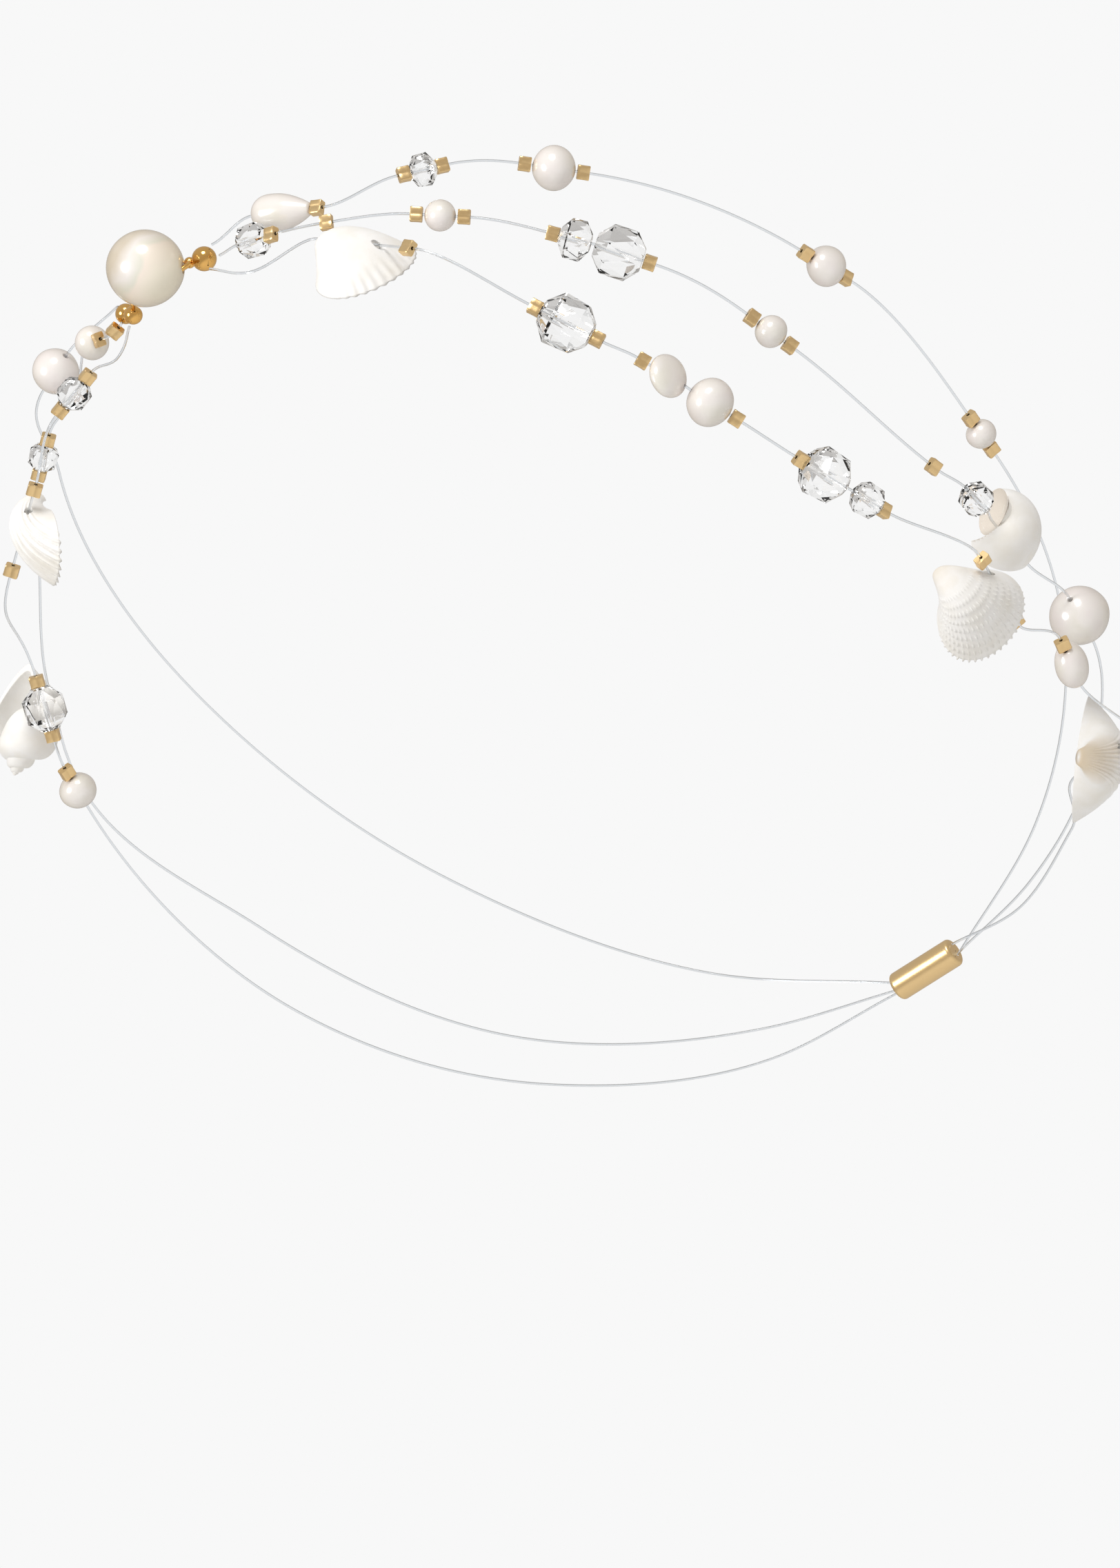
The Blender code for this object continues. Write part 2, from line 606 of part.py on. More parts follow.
def build_line(name, route, material):
    """Line and its squeezed crimp tubes as one solid."""
    total = route.reach[-1]
    places = crimp_places(route)
    stations = []
    for number, middle in enumerate(places):
        half = CRIMP_LENGTH / 2.0
        for offset, side in ((-half, 0.0), (-half, CRIMP_SIDE), (0.0, CRIMP_WAIST), (half, CRIMP_SIDE), (half, 0.0)):
            stations.append((middle + offset, side, number))
    for index, stop in enumerate(route.stops):
        if stop.kind == "way":
            stations.append((route.at[index + 1], 0.0, -1))
        if stop.name:
            reach = stop.along * MM / 2.0 + GAP / 2.0
            for side, sign in (("before", -1.0), ("after", 1.0)):
                if stop.crimps not in (side, "both"):
                    stations.append((route.at[index + 1] + sign * reach, 0.0, -1))
    stations.sort(key=lambda station: station[0])
    free = [0.0] + [station[0] for station in stations] + [total]
    for first, second in zip(free[:-1:1], free[1::1]):
        if second - first > CRIMP_LENGTH * 0.6:
            count = max(1, round((second - first) / LINE_STEP))
            for k in range(0 if first == 0.0 else 1, count + (1 if second == total else 0)):
                stations.append((first + (second - first) * k / count, 0.0, -1))
    order = sorted(range(len(stations)), key=lambda i: (round(stations[i][0], 7), i))
    rings = []
    for i in order:
        distance, side, number = stations[i]
        matrix = route.frame(distance)
        if side:
            point, way = route.sample(distance)
            matrix = frame_at(point, way, CRIMP_FACING)
            roll = Matrix.Rotation(crimp_roll(number), 4, "X")
            corner = side / math.sqrt(2.0)
            flat = corner * CRIMP_FLATNESS
            rings.append([matrix @ roll @ point for point in ring(corner, flat, 4, 0.0, 0.5)])
        else:
            rings.append([matrix @ point for point in ring(LINE_RADIUS, LINE_RADIUS, LINE_SIDES)])
    return finish(loft(name, rings, False), material, Matrix.Identity(4))


def ball(name, centre, diameter, sides=PEARL_SIDES, rings=8):
    mesh = bmesh.new()
    bmesh.ops.create_uvsphere(mesh, u_segments=sides, v_segments=rings, radius=diameter / 2.0)
    item = add_object(name, mesh)
    item.matrix_world = Matrix.Translation(centre)
    return item


def tube(name, points, radius, sides=8):
    """Bent wire through some points."""
    rings = []
    for i, point in enumerate(points):
        before = points[max(i - 1, 0)]
        after = points[min(i + 1, len(points) - 1)]
        matrix = frame_at(point, (point - before).normalized() + (after - point).normalized(), Vector((0, 0, 1)))
        rings.append([matrix @ corner for corner in ring(radius, radius, sides)])
    return loft(name, rings, False)


def build_front(gold, cream):
    """Large pearl on a wire whose soldered balls the lines run from."""
    centre, out = seat(FRONT_PEARL)
    left = seat(BALL_LEFT)[0]
    spacer = seat(BALL_SPACER)[0]
    right = seat(BALL_RIGHT)[0]
    inner = seat(BALL_RIGHT_INNER)[0]
    along = left - right
    along = (along - out * along.dot(out)).normalized()
    radius = PEARL_DIAMETER / 2.0
    half = math.sqrt(radius ** 2 - WIRE_DEPTH ** 2) + WIRE_CLEAR
    low = centre - out * WIRE_DEPTH
    pearl = ball("centre_pearl", centre, PEARL_DIAMETER, 20, 14)
    drill_end = along * radius * 1.2
    cutter = tube("centre_pearl_drill", [low - drill_end, low + drill_end], WIRE_RADIUS + GAP, 10)
    boolean(pearl, cutter, "DIFFERENCE")
    finish(pearl, cream, pearl.matrix_world.copy(), 40.0)
    wire = tube("centre_mount", [right, inner, low - along * half, low + along * half, spacer, left], WIRE_RADIUS)
    middles = {"left": left, "spacer": spacer, "right": right, "inner": inner}
    for side, middle in middles.items():
        boolean(wire, ball("centre_ball_" + side, middle, BALL_SIZES[side]), "UNION")
    finish(wire, gold, Matrix.Identity(4), 35.0)
    return middles


def build_clasp(gold):
    centre, out = seat(CLASP)
    matrix = frame_at(centre, Vector((1.0, 0.0, 0.0)), out)
    half = CLASP_LENGTH / 2.0
    profile = [(-half, CLASP_END_RADIUS), (-half + 0.8 * MM, CLASP_RADIUS),
               (half - 0.8 * MM, CLASP_RADIUS), (half, CLASP_END_RADIUS)]
    item = loft("clasp", [ring(r, r, 14, x) for x, r in profile], False)
    return finish(item, gold, matrix, 35.0), matrix


def level_frame(matrix):
    """Same place with X kept level with the form, whatever the line's own climb."""
    point = matrix.translation
    out = outward(point)
    way = matrix.col[0].to_3d()
    return frame_at(point, way - out * way.dot(out), out)


def build_bead(stop, matrix, materials):
    along = stop.along * MM
    across = stop.across * MM
    if stop.kind == "crystal":
        return finish(crystal(stop.name, along, across), materials["glass"], matrix)
    if stop.kind == "drop":
        return finish(drop(stop.name, along, across), materials["pearl"], matrix, 40.0)
    if stop.kind == "cockle":
        shape = HALF_SHELLS[stop.name]
        place = shell_matrix(level_frame(matrix), shape)
        item = finish(half_shell(stop.name, shape), materials["shell"], place, 30.0)
        drill(item, matrix, 12.0 * MM, SHELL_BORE_RADIUS)
        return item
    if stop.kind == "spiral":
        shape = COILED_SHELLS[stop.name]
        place = shell_matrix(level_frame(matrix), shape)
        item = finish(coiled_shell(stop.name, shape), materials["shell"], place, 40.0)
        drill(item, matrix, 12.0 * MM, SHELL_BORE_RADIUS)
        return item
    taper = BAROQUE.get(stop.name, PLAIN).taper
    item = drilled_ball(stop.name, along, across, BORE_RADIUS, PEARL_RINGS, PEARL_SIDES, taper)
    item.data.transform(pearl_shape(stop.name))
    return finish(item, materials["pearl"], matrix, 40.0)


def make_routes(balls, clasp_frame):
    routes = {}
    for name, stops in LINES.items():
        side = "left" if name.startswith("line_left") else "right"
        sign = 1.0 if side == "left" else -1.0
        first = seat(Place(stops[0].azimuth, stops[0].height, stops[0].lift))[0]
        middle = balls[side]
        frame = frame_at(middle, first - middle, outward(middle))
        turn = 2.0 * math.pi * LEAVES[name]
        spread = Vector((0.0, math.cos(turn), math.sin(turn))) * LEAVE_SPREAD
        reach = math.sqrt((BALL_SIZES[side] / 2.0 + GAP + LINE_RADIUS) ** 2 - LEAVE_SPREAD ** 2)
        start = frame @ (spread + Vector((reach, 0.0, 0.0)))
        bend = 2.0 * math.pi * (list(LINES).index(name) % 3) / 3.0
        hole = Vector((sign * (CLASP_LENGTH / 2.0 + GAP), math.cos(bend) * LEAVE_SPREAD, math.sin(bend) * LEAVE_SPREAD))
        routes[name] = Route(start, stops, clasp_frame @ hole)
    return routes


def main():
    clear_scene()
    gold = make_material("satin_gold", (0.83, 0.58, 0.25), 1.0, 0.28)
    line = make_material("clear_nylon", (0.92, 0.93, 0.94), 0.0, 0.15, 0.6)
    materials = {
        "pearl": make_material("white_pearl", (0.9, 0.88, 0.85), 0.0, 0.25),
        "glass": make_material("clear_crystal", (0.98, 0.98, 0.98), 0.0, 0.02, 1.0),
        "shell": make_material("bleached_shell", (0.92, 0.91, 0.88), 0.0, 0.55),
    }
    cream = make_material("cream_pearl", (0.88, 0.82, 0.68), 0.0, 0.22)
    balls = build_front(gold, cream)
    _, clasp_frame = build_clasp(gold)
    for name, route in make_routes(balls, clasp_frame).items():
        build_line(name, route, line)
        for index, stop in enumerate(route.stops):
            if stop.name:
                build_bead(stop, route.frame(route.at[index + 1]), materials)


main()
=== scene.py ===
"""Diadem of pearls, cut crystals and bleached sea shells on six clear lines, dressed over its solids."""

import math
from collections import namedtuple

import bmesh
import bpy
from mathutils import Matrix, Vector, noise


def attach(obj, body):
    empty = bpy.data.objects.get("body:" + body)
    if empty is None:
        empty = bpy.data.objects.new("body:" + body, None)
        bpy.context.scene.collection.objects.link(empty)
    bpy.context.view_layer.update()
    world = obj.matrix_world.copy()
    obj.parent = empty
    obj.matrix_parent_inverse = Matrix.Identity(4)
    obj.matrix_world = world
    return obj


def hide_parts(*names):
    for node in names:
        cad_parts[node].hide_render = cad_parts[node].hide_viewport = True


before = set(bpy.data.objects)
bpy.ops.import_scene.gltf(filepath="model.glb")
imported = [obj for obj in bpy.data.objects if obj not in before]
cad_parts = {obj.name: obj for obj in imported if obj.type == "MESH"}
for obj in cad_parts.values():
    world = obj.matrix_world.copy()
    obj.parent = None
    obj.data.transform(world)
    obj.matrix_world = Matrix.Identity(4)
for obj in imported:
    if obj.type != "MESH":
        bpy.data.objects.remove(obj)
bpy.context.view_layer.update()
scene = bpy.context.scene

# Picture and camera
PICTURE_WIDTH = 1624
PICTURE_HEIGHT = 2274
VIEW_TURN = math.radians(21.6)
VIEW_RISE = math.radians(-6.7)
VIEW_ROLL = math.radians(31.1)
VIEW_DISTANCE = 1.0
FOCAL_PIXELS = 9434.0
ORIGIN_PIXEL = (822.3, 972.1)
SENSOR = 36.0

# Floor, and the two lamps' ways in the camera's own axes, right, up and back
FLOOR_DROP = 0.35
FLOOR_RADIUS = 2.5
FLOOR_SIDES = 96
LAMPS = {"upper_lamp": (-0.159, 0.812, 0.56), "side_lamp": (-0.84, 0.105, 0.531)}
LAMP_DISTANCE = 0.8
LAMP_RADIUS = 0.17
LAMP_POWER = 2.3

MM = 0.001

# Egg-shaped form that the lines are curved round: its half sizes and how far it leans back
FORM_HALF = Vector((70.0, 95.5, 88.5)) * MM
FORM_LEAN = math.radians(14.0)

# A route is drawn in this many steps between two stops, its straight stretches take up at most this share of
# the way between them, and points nearer than this are left out
ROUTE_STEPS = 24
STRAIGHT_SHARE = 0.96
NEAREST_POINTS = 0.02 * MM

# Nylon line, square crimp tubes and drilled holes. The small turns of the tubes about their lines go round in
# steps, in degrees
LINE_RADIUS = 0.2 * MM
LINE_SIDES = 12
LINE_STEP = 0.8 * MM
CRIMP_LENGTH = 1.8 * MM
CRIMP_SIDE = 2.2 * MM
CRIMP_FLATNESS = 0.64
CRIMP_FACING = Vector((0.4, -0.9, -0.1))
CRIMP_ROLL_STEP = 47
CRIMP_ROLL_SPAN = 40
CRIMP_BORE = 0.28 * MM
CRIMP_CREASE = 0.07 * MM
CRIMP_CREASE_SHARE = 0.25
CRIMP_SQUARENESS = 9
CRIMP_LIP = 0.15 * MM
CRIMP_BEVEL = 0.08 * MM
CRIMP_COLUMNS = 64
BORE_RADIUS = 0.5 * MM
SHELL_BORE_RADIUS = 0.65 * MM
GAP = 0.3 * MM
DRILL_SIDES = 16
DRILL_REACH = 12.0 * MM

# Front finding: a wire through the lower part of the large pearl, with soldered balls on both sides, the
# way from that pearl's middle to its side with painted warm bounce light, and the ring at a ball's poles
PEARL_DIAMETER = 11.5 * MM
WIRE_RADIUS = 0.4 * MM
WIRE_DEPTH = 3.2 * MM
WIRE_CLEAR = 0.9 * MM
PAINTED_BOUNCE_SIDE = Vector((0.43, 0.01, -0.91))
POLE_RADIUS = 0.002 * MM

# Clasp at the back
CLASP_RADIUS = 2.4 * MM
CLASP_LENGTH = 12.0 * MM
CLASP_END_RADIUS = 1.7 * MM
CLASP_COLUMNS = 64
CLASP_STEPS = 8
CLASP_EDGE = 0.2 * MM
CLASP_POLE_RADIUS = 0.1 * MM

Place = namedtuple("Place", "azimuth height lift")
Stop = namedtuple("Stop", "name kind azimuth height lift along across crimps aslant climb",
                  defaults=(0.0, 0.0, "", 0.0, 0.0))
Shell = namedtuple("Shell", "length width rise turn tip lean forward sideways outward")
Spiral = namedtuple("Spiral", "tube offset drop shoulder canal growth whorls turn tip lean "
                    "forward sideways outward")

FRONT_PEARL = Place(-1.0, 71.0, 7.0)
BALL_LEFT = Place(6.0, 72.0, 2.2)
BALL_SPACER = Place(3.5, 72.5, 2.6)
BALL_RIGHT = Place(-12.0, 73.0, 2.0)
BALL_RIGHT_INNER = Place(-9.0, 71.5, 2.0)
BALL_SIZES = {"left": 3.7 * MM, "spacer": 1.7 * MM, "right": 3.1 * MM, "inner": 2.8 * MM}
CLASP = Place(180.0, -62.5, 3.0)

# Stops along each line from front to back: azimuth in degrees from the front, height and lift in mm,
# then the bead's size along and across the line in mm, where its crimp tubes sit, and how many degrees
# the line is turned aslant on the form and off it there
LINES = {
    "line_left_top": [
        Stop("drop_pearl", "drop", 20.0, 71.0, 3.0, 9.8, 5.8, "after", -32.0),
        Stop("crystal_small", "crystal", 42.5, 66.5, 3.0, 3.6, 5.4, "both", 10.0),
        Stop("pearl_oval", "pearl", 59.5, 57.5, 3.5, 6.4, 6.8, "both", -8.0),
        Stop("pearl_side", "pearl", 90.5, 28.5, 3.2, 6.0, 6.6, "both", 11.0),
        Stop("pearl_limb", "pearl", 106.5, -2.5, 1.8, 4.4, 4.7, "both", 4.0),
        Stop("", "way", 134.0, -36.0, 1.5),
        Stop("", "way", 155.0, -54.0, 1.5),
    ],
    "line_left_middle": [
        Stop("crystal_front", "crystal", 14.5, 69.0, 3.0, 4.8, 5.5, "after", -5.0),
        Stop("", "crimp", 24.5, 64.8, 3.4),
        Stop("pearl_round", "pearl", 38.0, 58.0, 2.5, 4.6, 4.7, "both", -1.0),
        Stop("crystal_pair_small", "crystal", 49.5, 44.5, 3.5, 4.4, 6.6, "before"),
        Stop("crystal_pair_large", "crystal", 52.5, 39.5, 4.2, 7.0, 8.3, "after"),
        Stop("pearl_little", "pearl", 65.5, 20.5, 2.5, 4.6, 4.9, "both", -7.0),
        Stop("", "crimp", 80.5, -6.5, 2.0),
        Stop("crystal_low", "crystal", 86.0, -13.0, 3.0, 4.8, 5.3, "none", -3.0),
        Stop("shell_moon", "spiral", 91.9, -20.1, 2.6, 10.6, 10.0, "none"),
        Stop("pearl_potato", "pearl", 106.0, -32.5, 5.5, 8.6, 9.3, "none"),
        Stop("", "way", 133.0, -52.0, 3.0),
        Stop("", "way", 157.0, -61.0, 1.8),
    ],
    "line_left_bottom": [
        Stop("", "way", 12.5, 66.5, 0.8),
        Stop("", "way", 22.6, 65.4, 1.2, aslant=-26.0),
        Stop("shell_cockle_front", "cockle", 27.5, 58.0, 3.2, 13.0, 10.0, "after", -2.1, 6.4),
        Stop("crystal_large", "crystal", 39.5, 32.5, 4.2, 7.6, 8.6, "both", -2.0),
        Stop("pearl_coin", "pearl", 46.0, 19.5, 3.6, 6.0, 7.4, "before"),
        Stop("pearl_full", "pearl", 48.5, 13.5, 3.6, 6.6, 7.2, "after"),
        Stop("crystal_twin_large", "crystal", 56.5, -2.5, 4.1, 6.8, 8.2, "before"),
        Stop("crystal_twin_small", "crystal", 61.5, -8.0, 3.3, 4.6, 5.4, "after"),
        Stop("shell_knobbed", "cockle", 77.5, -26.5, 5.2, 14.4, 10.0, "both", 0.0, -16.0),
        Stop("pearl_tall", "pearl", 95.0, -39.0, 5.5, 6.3, 5.6, "before", -14.0),
        Stop("shell_cockle_large", "cockle", 112.5, -51.5, 5.2, 13.6, 10.0, "before", 8.0, -32.0),
        Stop("", "way", 138.0, -58.5, 1.6),
        Stop("", "way", 158.0, -64.0, 1.2),
    ],
    "line_right_bottom": [
        Stop("", "way", -12.5, 68.0, 0.9),
        Stop("crystal_right_first", "crystal", -22.5, 66.5, 2.7, 4.6, 5.2, "both"),
        Stop("shell_cockle_right", "cockle", -31.5, 52.0, 5.0, 11.6, 10.0, "both", -14.0),
        Stop("crystal_right_large", "crystal", -60.0, 34.0, 4.0, 6.4, 7.0, "both", 13.0),
        Stop("pearl_right_low", "pearl", -65.0, 22.0, 3.5, 5.4, 5.8, "before", -15.0),
        Stop("", "way", -93.0, -20.5, 2.5),
        Stop("", "way", -124.0, -49.0, 2.0),
        Stop("", "way", -155.0, -63.0, 1.8),
    ],
    "line_right_middle": [
        Stop("", "crimp", -14.0, 71.5, 2.0),
        Stop("pearl_right_first", "pearl", -20.5, 72.0, 3.0, 4.6, 5.2, "before", -20.0),
        Stop("", "way", -33.5, 70.0, 0.9),
        Stop("crystal_right_small", "crystal", -48.0, 65.0, 3.2, 4.2, 4.8, "both", -3.0),
        Stop("", "way", -57.5, 51.5, 2.6),
        Stop("shell_spire", "spiral", -66.8, 33.9, 4.4, 8.0, 10.0, "none", 6.0),
        Stop("", "way", -98.5, -5.5, 2.5),
        Stop("", "way", -128.0, -41.0, 2.0),
        Stop("", "way", -156.0, -58.0, 1.5),
    ],
    "line_right_top": [
        Stop("", "way", -22.0, 76.5, 2.0),
        Stop("pearl_right_pink", "pearl", -35.5, 72.0, 5.0, 6.8, 7.2, "none"),
        Stop("", "way", -65.0, 65.0, 3.0),
        Stop("", "way", -107.5, 34.0, 2.5),
        Stop("", "way", -133.0, -9.5, 2.5),
        Stop("", "way", -154.0, -45.0, 1.5),
    ],
}

# Where round its gold ball each line leaves, as a share of a turn, and how far lines stand off the middle of
# the ball and of the clasp's end
LEAVES = {"line_left_top": 0.2, "line_left_middle": -0.12, "line_left_bottom": -0.42,
          "line_right_top": 0.3, "line_right_middle": 0.0, "line_right_bottom": -0.3}
LEAVE_SPREAD = 1.2 * MM

# Pearls that aren't plain: their stretch three ways, how many degrees they are skewed off the form and
# spun on it, and their taper
Baroque = namedtuple("Baroque", "stretch skew spin taper")
BAROQUE = {
    "pearl_coin": Baroque((1.0, 1.0, 0.46), 12.0, 0.0, 0.0),
    "pearl_tall": Baroque((1.2, 0.9, 0.9), 0.0, -42.0, 0.0),
    "pearl_side": Baroque((1.0, 1.0, 0.91), 0.0, 0.0, 0.12),
}
PLAIN = Baroque((1.0, 1.0, 1.0), 0.0, 0.0, 0.0)

# Points along and round a pearl, its hole's rounded lip and narrowing, and the long pearl's outline
PEARL_STEPS = 46
PEARL_COLUMNS = 64
PEARL_LIP = 0.12 * MM
HOLE_NARROWING = 0.8
DROP_WIDEST = 0.3
DROP_TIP = 0.9 * MM
DROP_BLUNTNESS = 1.2
DROP_LIP = 0.1 * MM

# Cut crystals: sides, and for each row of corners its place and radius as shares of the half length and the
# radius, and its turn as a share of a side. A stop's size is this share of the size that is drawn
CRYSTAL_SIDES = 8
CRYSTAL_ROWS = ((-1.0, 0.42, 0.5), (-0.5, 0.9, 0.0), (0.5, 0.9, 0.5), (1.0, 0.42, 0.0))
CRYSTAL_SHARE = 0.97

# Half shells, in mm: beak to rim, width, rise, turn and tilts in degrees, and the offset of the middle from
# its stop
HALF_SHELLS = {
    "shell_cockle_front": Shell(16.2, 18.0, 4.9, -12.0, 7.0, 0.0, -1.7, -1.9, -3.3),
    "shell_knobbed": Shell(15.2, 16.2, 6.0, -32.0, 21.0, 47.0, -2.6, -2.8, -3.4),
    "shell_cockle_right": Shell(14.2, 13.2, 6.0, 49.0, -10.0, 0.0, 0.6, 0.3, -4.3),
    "shell_cockle_large": Shell(17.0, 22.0, 7.0, 20.0, 0.0, 9.0, 0.0, 0.1, -3.5),
}
SHELL_WALL = 0.9 * MM

# Growth of a half shell: how fast its rim shrinks per radian as it swings up, how far round the beak and the
# hollow end, how far the beak stands behind the hinge, how near the hinge both walls come, and the height
# that this gives
VALVE_CURL = 0.8
BEAK_TURN = 2.6
HOLLOW_TURN = 1.35
BEAK_SHARE = 0.107
HINGE_SHARE = 0.12
HOLLOW_HINGE_SHARE = 0.26
HINGE_NARROWING = 0.22
VALVE_RISE = 0.381

# Rows of a half shell crowd towards its rim by this power, and its yellowing from the beak reaches this share
# of it
ROW_CROWDING = 1.3
YELLOWING_REACH = 0.42

# Coiled shells at their mouth, in mm: radius of the tube, its distance from the axis and below the tip, its
# stretch towards the tip and away from it, growth in a whorl, count of whorls, turn and tilts in degrees, and
# the offset of the middle from its stop
COILED_SHELLS = {
    "shell_moon": Spiral(4.2, 3.3, 7.4, 1.3, 1.3, 2.6, 3.2, -84.0, -7.1, 71.4, -0.5, 3.08, -0.67),
    "shell_spire": Spiral(3.4, 3.5, 8.8, 1.25, 2.8, 2.1, 5.0, -113.6, 59.3, -31.2, -0.5, 1.6, 3.8),
}


def form_frame(azimuth, height):
    """Point of the egg-shaped form at an azimuth and height, and the way out from it."""
    turn = math.radians(azimuth)
    lean = Matrix.Rotation(-FORM_LEAN, 3, "X")
    across = lean @ Vector((math.sin(turn), -math.cos(turn), 0.0))
    upward = lean @ Vector((0.0, 0.0, height))
    flat = Vector([across[i] / FORM_HALF[i] for i in range(3)])
    rise = Vector([upward[i] / FORM_HALF[i] for i in range(3)])
    a = flat.dot(flat)
    b = 2.0 * flat.dot(rise)
    c = rise.dot(rise) - 1.0
    reach = (-b + math.sqrt(max(b * b - 4.0 * a * c, 0.0))) / (2.0 * a)
    point = Vector((math.sin(turn) * reach, -math.cos(turn) * reach, height))
    leaned = lean @ point
    out = Vector([leaned[i] / FORM_HALF[i] ** 2 for i in range(3)])
    return point, (lean.transposed() @ out).normalized()


def seat(place):
    """Point at a place on the form, lifted off it, and the way out."""
    point, out = form_frame(place.azimuth, place.height * MM)
    return point + out * place.lift * MM, out


def frame_at(point, along, out):
    """Matrix with X along the line, Z out from the form and Y across."""
    x = along.normalized()
    if abs(x.dot(out)) > 0.99:
        out = Vector((1.0, 0.0, 0.0))
    z = (out - x * out.dot(x)).normalized()
    y = z.cross(x)
    matrix = Matrix((x, y, z)).transposed().to_4x4()
    matrix.translation = point
    return matrix


class Route:
    """Line from the front finding to the clasp, straight inside each bead and curved between them."""

    def __init__(self, start, stops, end):
        knots = [start] + [seat(Place(stop.azimuth, stop.height, stop.lift))[0] for stop in stops] + [end]
        self.stops = stops
        self.knots = knots
        self.ways = []
        for i, knot in enumerate(knots):
            before = knots[max(i - 1, 0)]
            after = knots[min(i + 1, len(knots) - 1)]
            back = (knot - before).length
            ahead = (after - knot).length
            if back and ahead:
                way = (knot - before) / back * ahead + (after - knot) / ahead * back
            else:
                way = after - before
            if 0 < i < len(knots) - 1:
                out = outward(knot)
                way = Matrix.Rotation(math.radians(stops[i - 1].aslant), 3, out) @ way
                way = Matrix.Rotation(math.radians(stops[i - 1].climb), 3, way.cross(out)) @ way
            self.ways.append(way.normalized())
        self.build_samples()

    def straight(self, index, side):
        """Length of line kept straight before or after a stop."""
        if index == 0 or index == len(self.knots) - 1:
            return 0.0
        stop = self.stops[index - 1]
        if stop.kind == "way":
            return 0.0
        if stop.kind == "crimp":
            return CRIMP_LENGTH / 2.0
        crimp = CRIMP_LENGTH if stop.crimps in (side, "both") else 0.0
        return stop.along * MM / 2.0 + GAP + crimp

    def build_samples(self):
        """Points along the whole line, how far along it each is, and how far along it each stop is."""
        self.points = []
        for i in range(len(self.knots) - 1):
            gap = (self.knots[i + 1] - self.knots[i]).length
            near = self.straight(i, "after")
            far = self.straight(i + 1, "before")
            squeeze = min(1.0, STRAIGHT_SHARE * gap / max(near + far, gap * 0.01))
            near *= squeeze
            far *= squeeze
            first = self.knots[i] + self.ways[i] * near
            last = self.knots[i + 1] - self.ways[i + 1] * far
            pull = (last - first).length
            if near or i == 0:
                self.points.append(self.knots[i])
            for k in range(ROUTE_STEPS + 1):
                u = k / ROUTE_STEPS
                point = first * (2 * u ** 3 - 3 * u ** 2 + 1) + last * (3 * u ** 2 - 2 * u ** 3)
                point += self.ways[i] * pull * (u ** 3 - 2 * u ** 2 + u)
                point += self.ways[i + 1] * pull * (u ** 3 - u ** 2)
                if not self.points or (point - self.points[-1]).length > NEAREST_POINTS:
                    self.points.append(point)
        self.points.append(self.knots[-1])
        self.reach = [0.0]
        for first, second in zip(self.points, self.points[1:]):
            self.reach.append(self.reach[-1] + (second - first).length)
        self.at = []
        for knot in self.knots:
            gaps = [(point - knot).length for point in self.points]
            self.at.append(self.reach[gaps.index(min(gaps))])

    def sample(self, distance):
        """Point and direction at a distance along the line."""
        distance = min(max(distance, 0.0), self.reach[-1])
        i = 0
        while i < len(self.reach) - 2 and self.reach[i + 1] < distance:
            i += 1
        span = self.reach[i + 1] - self.reach[i]
        way = (self.points[i + 1] - self.points[i]).normalized()
        share = (distance - self.reach[i]) / span if span else 0.0
        return self.points[i].lerp(self.points[i + 1], share), way

    def frame(self, distance):
        """Matrix at a distance along the line, with X along it and Z out from the form."""
        point, way = self.sample(distance)
        return frame_at(point, way, outward(point))


def outward(point):
    """Way out from the form at any point near it."""
    lean = Matrix.Rotation(-FORM_LEAN, 3, "X")
    leaned = lean @ point
    out = Vector([leaned[i] / FORM_HALF[i] ** 2 for i in range(3)])
    return (lean.transposed() @ out).normalized()


def crimp_places(route):
    """Distances of the middles of all crimp tubes on a line."""
    places = []
    for index, stop in enumerate(route.stops):
        middle = route.at[index + 1]
        reach = stop.along * MM / 2.0 + GAP + CRIMP_LENGTH / 2.0
        if stop.kind == "crimp":
            places.append(middle)
        if stop.crimps in ("before", "both"):
            places.append(middle - reach)
        if stop.crimps in ("after", "both"):
            places.append(middle + reach)
    return sorted(places)


def crimp_roll(number):
    """Each tube sits turned a little differently about the line."""
    return math.radians((number * CRIMP_ROLL_STEP) % CRIMP_ROLL_SPAN - CRIMP_ROLL_SPAN / 2.0)


def level_frame(matrix):
    """Same place with X kept level with the form, whatever the line's own climb."""
    point = matrix.translation
    out = outward(point)
    way = matrix.col[0].to_3d()
    return frame_at(point, way - out * way.dot(out), out)


def valve_point(shape, turn, curl, hinge=HINGE_SHARE):
    """Point of a half shell: its rim shrinks towards the beak while it swings up about the hinge."""
    reach = shape.length * MM / (1.0 + BEAK_SHARE)
    fan = 0.5 - 0.5 * math.cos(turn)
    shrink = math.exp(-VALVE_CURL * curl)
    out = reach * (1.0 - (1.0 - hinge) * fan) * shrink
    x = out * math.cos(curl) - reach * (1.0 - BEAK_SHARE) / 2.0
    y = math.sin(turn) * shape.width * MM / 2.0 * (1.0 - HINGE_NARROWING * fan) * shrink
    z = out * math.sin(curl) * shape.rise * MM / (reach * VALVE_RISE)
    return Vector((x, y, z))


def hollow_point(shape, turn, curl):
    """Point of the inner wall, which stays clear of the solid hinge and beak."""
    point = valve_point(shape, turn, curl * HOLLOW_TURN / BEAK_TURN, HOLLOW_HINGE_SHARE)
    slim = 1.0 - 2.0 * SHELL_WALL / (min(shape.length, shape.width) * MM)
    return Vector((point.x * slim, point.y * slim, point.z * (1.0 - SHELL_WALL / (shape.rise * MM))))


